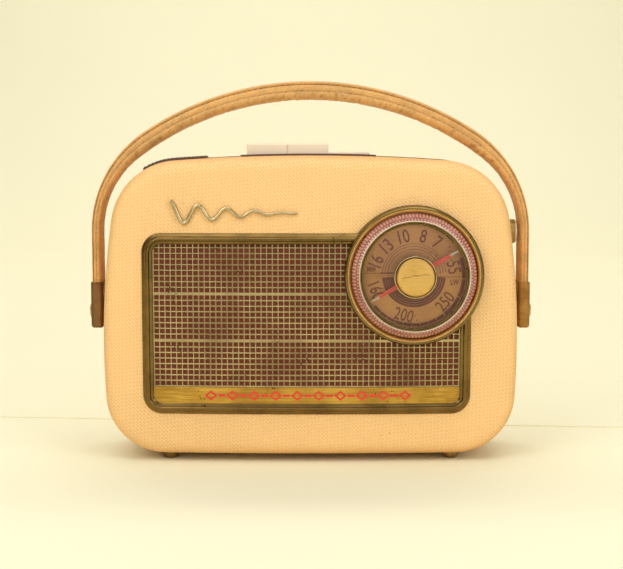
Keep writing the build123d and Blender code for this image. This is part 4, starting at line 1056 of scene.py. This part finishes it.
class RADIO_OT_dial_scale(bpy.types.Operator):
    """Prints the dial plate: figures, band names, arcs and segments"""

    bl_idname = "radio.dial_scale"
    bl_label = "Add Dial Scale"

    INK = 0.06 * MM                      # thickness of the print
    PROUD = 0.005 * MM
    FIGURE_R = 25.4 * MM
    # figures of the two wave bands: text, angle from the right, and whether their tops face outwards
    FIGURES = (("16", 159, True), ("13", 133, True), ("10", 105, True), ("8", 77, True), ("7", 55, True),
               ("55", 12, True), ("160", 202, False), ("200", 256, False), ("250", 320, False))
    # band names: text, height, and place from the dial's centre, in mm
    NAMES = (("MW", 3.0, -26.6, 4.0), ("LW", 3.4, 25.6, -4.2))
    # arcs: radius and width in mm, and first and last angle in degrees
    UPPER_ARCS = ((20.0, 0.28, 4, 176), (18.4, 0.28, 4, 176), (16.6, 0.28, 4, 176), (16.3, 7.2, 184, 356))
    LOWER_ARCS = ((31.2, 2.3, -51, -26), (31.2, 2.3, -25, -4), (31.2, 2.3, -3, 21), (32.1, 0.7, 40, 52),
                  (32.1, 0.7, 54, 66), (32.1, 0.7, 68, 80), (32.1, 0.7, 84, 96))
    # lines: left and right end, height and width, in mm
    LINES = ((-33, -20, 1.5, 0.3), (-21, -13, 1.6, 0.9), (13, 33, -0.8, 0.35))
    FINE_RADII = (13.9, 15.4, 16.9, 18.4)

    def execute(self, context):
        plate_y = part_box("dial_plate")[0].y
        bm = bmesh.new()
        self.figures(bm, context.scene.radio_dial.numeral)
        for arc in self.UPPER_ARCS:
            self.arc(bm, *arc)
        for line in self.LINES:
            self.line(bm, *line)
        for i in range(9):               # a band that widens in steps
            start = -142 + i * 10
            self.arc(bm, 31.0, 1.5 + 0.06 * i, start, start + 9.2)
        for arc in self.LOWER_ARCS:
            self.arc(bm, *arc)
        stand_on_dial(bm, plate_y - self.PROUD)
        add_piece("dial_print", bm, "case", "dial print")
        lines = bmesh.new()
        for radius in self.FINE_RADII:
            self.arc(lines, radius, 0.16, 186, 354)
        stand_on_dial(lines, plate_y - self.PROUD - self.INK)
        add_piece("dial_fine_lines", lines, "case", "scale plate")
        return {"FINISHED"}

    def figures(self, bm, height):
        """The figures round the dial, and the names of the two bands."""
        for text, angle, outward in self.FIGURES:
            turn = math.radians(angle)
            place = (math.cos(turn) * self.FIGURE_R, math.sin(turn) * self.FIGURE_R)
            if outward:
                add_text(bm, text, height, place, turn - math.pi / 2, self.INK)
            else:
                add_text(bm, text, height * 0.94, place, turn + math.pi / 2, self.INK)
        for text, size, x, y in self.NAMES:
            add_text(bm, text, size * MM, (x * MM, y * MM), 0.0, self.INK, 0.16)

    def arc(self, bm, radius, width, start, end):
        """A flat band between two angles, in degrees and millimetres."""
        part = bmesh.new()
        inner, outer = (radius - width / 2) * MM, (radius + width / 2) * MM
        corners = ((inner, 0, 0), (outer, 0, 0), (outer, 0, self.INK), (inner, 0, self.INK))
        verts = [part.verts.new(corner) for corner in corners]
        face = part.faces.new(verts)
        bmesh.ops.rotate(part, verts=part.verts, cent=(0, 0, 0),
                         matrix=Matrix.Rotation(math.radians(start), 3, "Z"))
        steps = max(2, round(abs(end - start) / 2))
        bmesh.ops.spin(part, geom=[face] + face.edges[:] + verts, cent=(0, 0, 0), axis=(0, 0, 1),
                       angle=math.radians(end - start), steps=steps)
        bmesh.ops.remove_doubles(part, verts=part.verts, dist=FINE_MERGE)
        join(bm, part)

    def line(self, bm, left, right, height, width):
        """A flat level bar, in millimetres."""
        part = bmesh.new()
        verts = bmesh.ops.create_cube(part, size=1 * MM)["verts"]
        bmesh.ops.scale(part, verts=verts, vec=(right - left, width, self.INK / MM))
        bmesh.ops.translate(part, verts=verts, vec=((left + right) / 2 * MM, height * MM, self.INK / 2))
        join(bm, part)


class RADIO_OT_tuning_knob(bpy.types.Operator):
    """Moulds the clear knob with its fluted rim, and its pointer and backing ring"""

    bl_idname = "radio.tuning_knob"
    bl_label = "Add Tuning Knob"

    # sections: radius, and depth behind the crown, in mm
    WINDOW = ((13.2, -11.2), (32.6, -7.1), (33.4, -7.3), (33.4, -6.0), (32.4, -5.7), (13.2, -9.9))
    RIM = ((34.2, -8.1), (34.7, -8.2), (35.7, -7.7), (36.4, -7.1), (36.6, -6.6), (36.9, -6.8), (37.7, -6.1),
           (38.5, -5.0), (39.1, -3.4), (39.2, -1.3), (34.2, -1.3))
    BACKING = ((34.2, -3.2), (38.6, -1.9), (38.6, -1.4), (34.2, -1.4))
    # a thin pale ring: a painted highlight near the rim's inner edge
    LINE = ((34.25, -8.0), (34.5, -8.45), (34.85, -8.0))
    LIP = ((32.3, -7.2), (32.6, -7.8), (33.0, -7.9), (33.2, -7.6), (33.6, -8.2), (34.1, -8.3), (34.3, -7.9),
           (34.2, -7.0), (33.0, -6.9))
    COLLAR = ((12.2, -12.3), (12.7, -12.7), (13.1, -12.6), (13.4, -12.0), (13.4, -9.6), (12.2, -9.6))
    # the plain rings: name, section, steps, finish, slot
    RINGS = (("rim_backing", BACKING, 120, "rim backing", "clear_knob"),
             ("rim_glint_ring", LINE, 120, "rim glint", "clear_knob"),
             ("rim_lip", LIP, 120, "dial brass", "dial_brass"),
             ("hub_collar", COLLAR, 96, "emblem brass", "clear_knob"))
    # the rim's two rows of flutes, in mm
    FLUTE_START, ROW_BREAK = 34.5, 36.5
    FLUTE_DEPTH, FLUTE_IN = 0.7, 0.25

    def execute(self, context):
        window = turned_ring(self.WINDOW, 120)
        add_piece("dial_window", window, "tuning", "clear knob", ("tuning_knob",))
        rim = self.fluted_rim(context.scene.radio_dial.flutes)
        add_piece("dial_rim", rim, "tuning", "fluted rim", sharp=20.0)
        for name, section, steps, finish, slot in self.RINGS:
            add_piece(name, turned_ring(section, steps), "tuning", finish)
        self.pointer()
        return {"FINISHED"}

    def fluted_rim(self, flutes):
        """The rim, with two rows of flutes that alternate. Its "groove" attribute paints shade: 1 at the
        flutes' roots, 0.9 in the groove between the rows.
        """
        rim = turned_ring(self.RIM, flutes * 2)
        hub = Vector((DIAL.x, 0, DIAL.z))
        layer = rim.verts.layers.float.new("groove")
        for v in rim.verts:
            out = Vector((v.co.x, 0, v.co.z)) - hub
            radius = out.length / MM
            step = round(math.atan2(out.z, out.x) / math.pi * flutes)
            row = 0 if radius < self.ROW_BREAK else 1
            # the flutes' roots are sunk, and marked 1 for painted shade
            if (step + row) % 2 and radius > self.FLUTE_START and v.co.y < FRONT_Y - 2 * MM:
                v.co.y += self.FLUTE_DEPTH * MM
                v.co -= out.normalized() * self.FLUTE_IN * MM
                v[layer] = 1.0
            # painted shade in the small groove between the two rows of flutes
            elif self.ROW_BREAK - 0.05 < radius < self.ROW_BREAK + 0.25:
                v[layer] = 0.9
        return rim

    # the pointer, in mm from the hub's axis
    POINTER_ANGLE = math.radians(30.5)
    ARM, TIP = (9.0, 25.5), (25.5, 31.5)
    HALF_WIDTH, TAPER = 1.65, 0.048
    POINTER_THICKNESS, POINTER_PROUD = 1.0, 4.2

    def pointer(self):
        """Two tapered arms on the hub, red with pale tips."""
        self.arm_pair("pointer_arms", "pointer red", self.ARM, ("tuning_pointer",))
        self.arm_pair("pointer_tips", "pointer tip", self.TIP, ())

    def arm_pair(self, name, finish, ends, replaced):
        """One stretch of both arms."""
        bm = bmesh.new()
        for turn in (0, math.pi):
            part = bmesh.new()
            bmesh.ops.create_grid(part, x_segments=1, y_segments=1, size=0.5)
            for v in part.verts:
                reach = ends[0] if v.co.x < 0 else ends[1]
                half = self.HALF_WIDTH - (reach - self.ARM[0]) * self.TAPER
                v.co = Vector((reach, half if v.co.y > 0 else -half, 0)) * MM
            thicken(part, self.POINTER_THICKNESS * MM)
            bmesh.ops.bevel(part, geom=part.edges[:], offset=0.22 * MM, segments=2, profile=0.5,
                            affect="EDGES", material=-1)
            bmesh.ops.rotate(part, verts=part.verts, cent=(0, 0, 0),
                             matrix=Matrix.Rotation(self.POINTER_ANGLE + turn, 3, "Z"))
            join(bm, part)
        stand_on_dial(bm, FRONT_Y - self.POINTER_PROUD * MM)
        add_piece(name, bm, "tuning", finish, replaced)


class RADIO_OT_aerial_cover(bpy.types.Operator):
    """Ribs the brown socket cover on the top left"""

    bl_idname = "radio.aerial_cover"
    bl_label = "Add Aerial Cover"

    RIBS = 15
    LEAN = (1, 0.5, 0.3)                 # the ribs run slightly slanted
    SET = (0.3 * MM, 0, -0.8 * MM)       # sits into its recess
    RELIEF = 0.7

    def execute(self, context):
        bm = bmesh.new()
        bm.from_mesh(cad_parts["aerial_cover"].data)
        bmesh.ops.remove_doubles(bm, verts=bm.verts, dist=MERGE)
        low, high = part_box("aerial_cover")
        width = high.x - low.x
        slope = (high.z - low.z) / width
        for i in range(1, self.RIBS * 2):
            point = (low.x + width * i / (self.RIBS * 2), 0, (low.z + high.z) / 2)
            bmesh.ops.bisect_plane(bm, geom=everything(bm), plane_co=point, plane_no=self.LEAN,
                                   dist=FINE_MERGE)
        bmesh.ops.translate(bm, verts=bm.verts, vec=self.SET)
        rib = width / self.RIBS
        for v in bm.verts:
            along = v.co.x + (v.co.y - FRONT_Y) * self.LEAN[1] + v.co.z * self.LEAN[2]
            if round(along / rib * 2) % 2:
                v.co += Vector((slope * 0.4, 0, -self.RELIEF)) * MM
        add_piece("socket_cover", bm, "case", "socket brown", ("aerial_cover",), 25.0)
        return {"FINISHED"}


class RADIO_OT_key_springs(bpy.types.Operator):
    """Winds the coil springs of the two raised keys, at their raised length; the coils do not close up when a
    key is pressed
    """

    bl_idname = "radio.key_springs"
    bl_label = "Add Key Springs"

    WIRE_R = 0.4 * MM
    TURNS, STEPS = 4.5, 90
    PRESS = 5.2 * MM                     # a key's travel

    def execute(self, context):
        for place in ("left", "middle"):
            low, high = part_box(f"key_spring_{place}")
            tall = high.z - low.z
            bm = bmesh.new()
            wire = bmesh.ops.create_circle(bm, cap_ends=False, segments=8, radius=self.WIRE_R)["verts"]
            bmesh.ops.rotate(bm, verts=wire, cent=(0, 0, 0), matrix=Matrix.Rotation(math.pi / 2, 3, "X"))
            bmesh.ops.translate(bm, verts=wire, vec=((high.x - low.x) / 2 - self.WIRE_R, 0, self.WIRE_R))
            rise = (tall - 2 * self.WIRE_R) / self.STEPS
            bmesh.ops.spin(bm, geom=bm.verts[:] + bm.edges[:], cent=(0, 0, 0), axis=(0, 0, 1),
                           dvec=(0, 0, rise), angle=math.tau * self.TURNS, steps=self.STEPS, use_merge=False)
            bmesh.ops.holes_fill(bm, edges=[e for e in bm.edges if e.is_boundary], sides=8)
            bmesh.ops.translate(bm, verts=bm.verts, vec=((low.x + high.x) / 2, (low.y + high.y) / 2, low.z))
            name = f"key_spring_{place}"
            coil = add_piece(f"{name}_coil", bm, "case", "steel", (name,), 50.0)
            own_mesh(coil)
        return {"FINISHED"}


class RADIO_OT_strap(bpy.types.Operator):
    """Sews the padded carrying strap: a flat outer fold, a smooth face and a creased inner roll"""

    bl_idname = "radio.strap"
    bl_label = "Add Carrying Strap"

    # each edge in mm: half its width, its top, the radius of the arch, and the radius of the shoulders
    INNER = (136.6, 231.7, 188.0, 60.0)
    OUTER = (143.0, 243.6, 196.0, 78.5)
    END_Z = 84.0                         # the straight legs end here, in the ferrules
    PLACES = 560                         # loops along the strap
    # the section, going round one half: share of the thickness from inside outwards, share of the half width
    SECTION = ((0.02, 0.55), (0.06, 0.78), (0.16, 0.93), (0.30, 1.0), (0.40, 0.99), (0.455, 0.93),
               (0.50, 0.97), (0.62, 1.0), (0.72, 0.99), (0.775, 0.92), (0.80, 0.82), (0.825, 0.88),
               (0.90, 0.93), (0.96, 0.88), (0.99, 0.72), (1.0, 0.35))
    ROLL_SHARE = 0.46                    # of the thickness, is the creased inner roll
    # the seams' grooves, as shares of the thickness; they get painted shade
    SEAMS = ((0.44, 0.47), (0.79, 0.81))
    # the stitched seams: share of the thickness, share of the half width
    SEAM_STITCHES, FOLD_STITCHES = (0.80, 0.85), (0.455, 0.955)
    BARE_ENDS = 24                       # loops at each end without stitches

    def execute(self, context):
        sizes = context.scene.radio_strap
        self.half_width = (STRAP_HIGH.y - STRAP_LOW.y) / 2
        self.middle_y = (STRAP_HIGH.y + STRAP_LOW.y) / 2
        path = list(zip(self.edge(*self.INNER), self.edge(*self.OUTER)))
        self.body(path, sizes.crease)
        self.stitches("strap_seam_stitches", "dark thread", path, self.SEAM_STITCHES, sizes.stitch)
        self.stitches("strap_fold_stitches", "thread", path, self.FOLD_STITCHES, sizes.stitch)
        return {"FINISHED"}

    def outline(self, half, top, arch, shoulder):
        """Dense points of one edge: straight leg, shoulder and arch, from the left end to the right end."""
        centre_z = top - arch
        shoulder_x = half - shoulder
        shoulder_z = centre_z + math.sqrt((arch - shoulder) ** 2 - shoulder_x ** 2)
        meet = math.atan2(shoulder_z - centre_z, shoulder_x)
        points = [(half, self.END_Z + (shoulder_z - self.END_Z) * i / 40) for i in range(40)]
        for i in range(80):
            angle = meet * i / 80
            points.append((shoulder_x + shoulder * math.cos(angle), shoulder_z + shoulder * math.sin(angle)))
        for i in range(81):
            angle = meet + (math.pi / 2 - meet) * i / 80
            points.append((arch * math.cos(angle), centre_z + arch * math.sin(angle)))
        return [(-x, z) for x, z in points] + points[-2::-1]

    def edge(self, half, top, arch, shoulder):
        """Even points on one edge of the strap, by arc length from the left end."""
        dense = self.outline(half, top, arch, shoulder)
        lengths = [0.0]
        for (x0, z0), (x1, z1) in zip(dense, dense[1:]):
            lengths.append(lengths[-1] + math.hypot(x1 - x0, z1 - z0))
        points, j = [], 0
        for i in range(self.PLACES + 1):
            want = lengths[-1] * i / self.PLACES
            while j < len(lengths) - 2 and lengths[j + 1] < want:
                j += 1
            part = (want - lengths[j]) / (lengths[j + 1] - lengths[j])
            x = dense[j][0] + (dense[j + 1][0] - dense[j][0]) * part
            z = dense[j][1] + (dense[j + 1][1] - dense[j][1]) * part
            points.append(Vector((x * MM, 0, z * MM)))
        return points

    def crease_depth(self, along, thick, wide):
        """How deep the inner roll is creased, from 0. along is the share of the length."""
        wave = noise.noise(Vector((along * 190, wide * 2.2, thick * 3)))
        fine = noise.noise(Vector((along * 420, wide * 4.0, thick * 9 + 7)))
        return max(0.0, wave * 1.1 + fine * 0.8 - 0.1) * self.bend(along)

    def bend(self, along):
        """0 at the strap's ends, 1 at the top of its arch."""
        return math.sin(math.pi * along) ** 0.6

    def body(self, path, crease):
        """Lofts the section along the strap. Its "crease" attribute is the painted shade of creases and
        seams.
        """
        ring = [(thick, -wide) for thick, wide in self.SECTION]
        ring += [(thick, wide) for thick, wide in reversed(self.SECTION)]
        bm = bmesh.new()
        layer = bm.verts.layers.float.new("crease")
        last = None
        for i, (inner, outer) in enumerate(path):
            along = i / (len(path) - 1)
            outwards = (outer - inner).normalized()
            loop = []
            for thick, wide in ring:
                place = inner.lerp(outer, thick)
                place.y = self.middle_y + wide * self.half_width
                fold = 0.0
                if thick < self.ROLL_SHARE:
                    fold = self.crease_depth(along, thick, wide)
                    depth = crease * fold * (1.0 - thick)
                    place += outwards * depth * 1.2
                    place.y -= math.copysign(depth * 1.4, wide)
                vert = bm.verts.new(place)
                # painted shade: the seams' grooves darken more towards the top of the arch, and the creases
                # by their depth
                seam = 0.55 if any(low < thick < high for low, high in self.SEAMS) else 0.0
                vert[layer] = min(1.0, fold + seam * (0.4 + 0.6 * self.bend(along)))
                loop.append(vert)
            edges = [bm.edges.new(pair) for pair in zip(loop, loop[1:] + loop[:1])]
            if last:
                bmesh.ops.bridge_loops(bm, edges=last + edges)
            else:
                bmesh.ops.contextual_create(bm, geom=edges)
            last = edges
        bmesh.ops.contextual_create(bm, geom=last)
        strap = add_piece("strap_leather", bm, "handle", "strap leather", ("carry_strap",),
                          60.0)

    def stitches(self, name, finish, path, seam, pitch):
        """Short stitches along one seam, on both faces."""
        thick, wide = seam
        bm = bmesh.new()
        walked, last = 0.0, None
        for inner, outer in path[self.BARE_ENDS:-self.BARE_ENDS]:
            here = inner.lerp(outer, thick)
            if last is not None:
                walked += (here - last).length
                if walked >= pitch:
                    walked = 0.0
                    along = (here - last).normalized()
                    for side in (-1, 1):
                        self.stitch(bm, here, along, self.middle_y + side * self.half_width * wide, pitch)
            last = here
        add_piece(name, bm, "handle", finish, sharp=60.0)

    def stitch(self, bm, here, along, y, pitch):
        """One thread end, a small rounded bar."""
        across = Vector((0, 1, 0))
        up = along.cross(across).normalized()
        turn = Matrix((along, across, up)).transposed().to_4x4()
        place = Matrix.Translation(Vector((here.x, y, here.z)))
        size = Matrix.Diagonal((pitch * 0.62, 0.5 * MM, 0.42 * MM, 1))
        made = bmesh.ops.create_cube(bm, size=1.0, matrix=place @ turn @ size)
        edges = {e for v in made["verts"] for e in v.link_edges}
        long_edges = [e for e in edges if abs((e.verts[0].co - e.verts[1].co).normalized().dot(along)) > 0.9]
        bmesh.ops.bevel(bm, geom=long_edges, offset=0.12 * MM, segments=1, profile=0.5, affect="EDGES",
                        material=-1)


class RADIO_OT_stage(bpy.types.Operator):
    """Sets the floor, the backdrop, the lights and the camera"""

    bl_idname = "radio.stage"
    bl_label = "Add Stage"

    def execute(self, context):
        settings = context.scene.radio_stage
        self.backdrop(tuple(settings.floor))
        self.world(context.scene)
        self.lights(settings.key_power)
        self.camera(context.scene)
        return {"FINISHED"}

    FLOOR_HALF = 3.0
    WALL_HEIGHT = 4.0
    CORNER_R = 1.2

    def backdrop(self, colour):
        """A table top that curves up into a wall far behind."""
        bm = bmesh.new()
        bmesh.ops.create_grid(bm, x_segments=1, y_segments=1, size=self.FLOOR_HALF)
        rear = self.FLOOR_HALF - 0.1
        wall = [e for e in bm.edges if all(v.co.y > rear for v in e.verts)]
        grown = bmesh.ops.extrude_edge_only(bm, edges=wall)
        top = [v for v in grown["geom"] if isinstance(v, bmesh.types.BMVert)]
        bmesh.ops.translate(bm, verts=top, vec=(0, 0, self.WALL_HEIGHT))
        corner = [e for e in bm.edges if all(v.co.y > rear and abs(v.co.z) < 0.01 for v in e.verts)]
        bmesh.ops.bevel(bm, geom=corner, offset=self.CORNER_R, segments=24, profile=0.5, affect="EDGES",
                        material=-1)
        bmesh.ops.recalc_face_normals(bm, faces=bm.faces)
        finish, tree, shader = start_material("floor paper", Roughness=0.75, Specular_IOR_Level=0.2)
        skin = use(tree, "surface skin", Scale=9.0)
        tone = blend_colour(tree, skin["Tone"], rgba(shade(colour, 0.985)), rgba(colour))
        connect(tree, shader, Base_Color=tone)
        self.add_backdrop("floor", bm, finish, True)
        self.table_edge(finish)

    EDGE_SIZE = (0.62, 1.6 * MM, 0.9 * MM)
    EDGE_PLACE = (0.0, 94 * MM, 0.4 * MM)
    EDGE_TURN = math.radians(-4.7)

    def table_edge(self, finish):
        """The thin line of the table's rear edge."""
        bm = bmesh.new()
        bmesh.ops.create_cube(bm, size=1.0)
        bmesh.ops.scale(bm, verts=bm.verts, vec=self.EDGE_SIZE)
        bmesh.ops.rotate(bm, verts=bm.verts, cent=(0, 0, 0), matrix=Matrix.Rotation(self.EDGE_TURN, 3, "Z"))
        bmesh.ops.translate(bm, verts=bm.verts, vec=self.EDGE_PLACE)
        self.add_backdrop("table_edge", bm, finish, False)

    def add_backdrop(self, name, bm, finish, smooth):
        """Makes a stage object from a bmesh."""
        mesh = bpy.data.meshes.new(name)
        bm.to_mesh(mesh)
        bm.free()
        mesh.materials.append(finish)
        mesh.polygons.foreach_set("use_smooth", [smooth] * len(mesh.polygons))
        made = bpy.data.objects.new(name, mesh)
        bpy.context.scene.collection.objects.link(made)

    SKY_STRENGTH = 0.48
    SKY_DIM, SKY_BRIGHT = (0.09, 0.075, 0.05, 1), (1.0, 0.965, 0.86, 1)

    def world(self, scene):
        """A dim room in front, and a bright one above and behind."""
        world = bpy.data.worlds.new("studio")
        scene.world = world
        world.use_nodes = True
        tree = world.node_tree
        tree.nodes.clear()
        place = node(tree, "ShaderNodeTexCoord").outputs["Generated"]
        way = node(tree, "ShaderNodeSeparateXYZ", {0: place})
        back = spread(tree, way.outputs["Y"], -0.75, 0.1)
        up = spread(tree, way.outputs["Z"], 0.1, 0.9)
        light = maths(tree, "MAXIMUM", back, up)
        tone = blend_colour(tree, light, self.SKY_DIM, self.SKY_BRIGHT)
        sky = node(tree, "ShaderNodeBackground", {"Color": tone, "Strength": self.SKY_STRENGTH})
        out = tree.nodes.new("ShaderNodeOutputWorld")
        tree.links.new(sky.outputs[0], out.inputs["Surface"])

    LAMP_COLOUR = (1.0, 0.985, 0.955)
    # name, place, aim, width, height, share of the key power
    LAMPS = (
        ("key", (-0.9, -1.1, 1.15), (0, 0, 0.1), 0.9, 0.9, 1.0),
        ("fill", (1.15, -1.0, 0.85), (0, 0, 0.1), 0.9, 0.9, 0.85),
        ("top", (0.0, -0.45, 1.7), (0, -0.1, 0.0), 1.6, 1.2, 1.25),
        ("low_fill", (0.0, -2.1, 0.40), (0, 0, 0.08), 3.2, 1.3, 1.6),
        ("backdrop_wash", (0.0, 1.4, 2.4), (0, 2.4, 0.4), 3.0, 1.0, 5.3),
    )

    def lights(self, power):
        """Soft rectangular lamps."""
        for name, place, aim, width, height, share in self.LAMPS:
            data = bpy.data.lights.new(name, "AREA")
            data.shape = "RECTANGLE"
            data.size, data.size_y = width, height
            data.energy = power * share
            data.color = self.LAMP_COLOUR
            lamp = bpy.data.objects.new(name, data)
            lamp.location = place
            lamp.rotation_euler = (Vector(aim) - Vector(place)).to_track_quat("-Z", "Y").to_euler()
            bpy.context.scene.collection.objects.link(lamp)

    CAMERA_PLACE = (0.0007, -0.829, 0.190)
    CAMERA_DIP = 5.42                    # degrees below level
    LENS, SENSOR = 73.27, 36.0

    def camera(self, scene):
        """Looks at the front from a little above its middle."""
        data = bpy.data.cameras.new("camera")
        data.sensor_width = self.SENSOR
        data.lens = self.LENS
        data.clip_end = 50.0
        camera = bpy.data.objects.new("camera", data)
        camera.location = self.CAMERA_PLACE
        camera.rotation_euler = (math.radians(90 - self.CAMERA_DIP), 0, 0)
        scene.collection.objects.link(camera)
        scene.camera = camera
        scene.view_settings.view_transform = "Standard"


class RADIO_PT_pieces(bpy.types.Panel):
    """Lists the radio's pieces in the 3D view's sidebar"""

    bl_label = "Radio Pieces"
    bl_idname = "RADIO_PT_pieces"
    bl_space_type = "VIEW_3D"
    bl_region_type = "UI"
    bl_category = "Radio"

    def draw(self, context):
        for operator in OPERATORS:
            self.layout.operator(operator.bl_idname)
        scene = context.scene
        for owner, names in (
            (scene.radio_grille, ("pitch", "web", "thickness", "rows", "bands")),
            (scene.radio_dial, ("flutes", "numeral")),
            (scene.radio_strap, ("stitch", "crease")),
            (scene.radio_colours, ("case", "strap", "key", "print")),
            (scene.radio_stage, ("floor", "key_power")),
        ):
            for name in names:
                self.layout.prop(owner, name)


OPERATORS = (
    RADIO_OT_plain_nodes, RADIO_OT_grille_cloth, RADIO_OT_grille_sheet, RADIO_OT_grille_frame,
    RADIO_OT_brass_strip, RADIO_OT_wave_emblem, RADIO_OT_dial_ring, RADIO_OT_dial_scale, RADIO_OT_tuning_knob,
    RADIO_OT_aerial_cover, RADIO_OT_key_springs, RADIO_OT_strap, RADIO_OT_stage,
)
SETTINGS = {
    "radio_grille": RadioGrilleSizes, "radio_dial": RadioDialSizes, "radio_strap": RadioStrapSizes,
    "radio_colours": RadioColours, "radio_stage": RadioStageSettings,
}


def register():
    """Adds the classes and the settings to Blender."""
    for kind in (*SETTINGS.values(), *OPERATORS, RADIO_PT_pieces):
        bpy.utils.register_class(kind)
    for name, kind in SETTINGS.items():
        setattr(bpy.types.Scene, name, PointerProperty(type=kind))


def unregister():
    """Takes them out again."""
    for name in SETTINGS:
        delattr(bpy.types.Scene, name)
    for kind in reversed((*SETTINGS.values(), *OPERATORS, RADIO_PT_pieces)):
        bpy.utils.unregister_class(kind)


def main():
    register()
    for operator in OPERATORS:
        group_name, _, call = operator.bl_idname.partition(".")
        getattr(getattr(bpy.ops, group_name), call)()


if __name__ == "__main__":
    main()
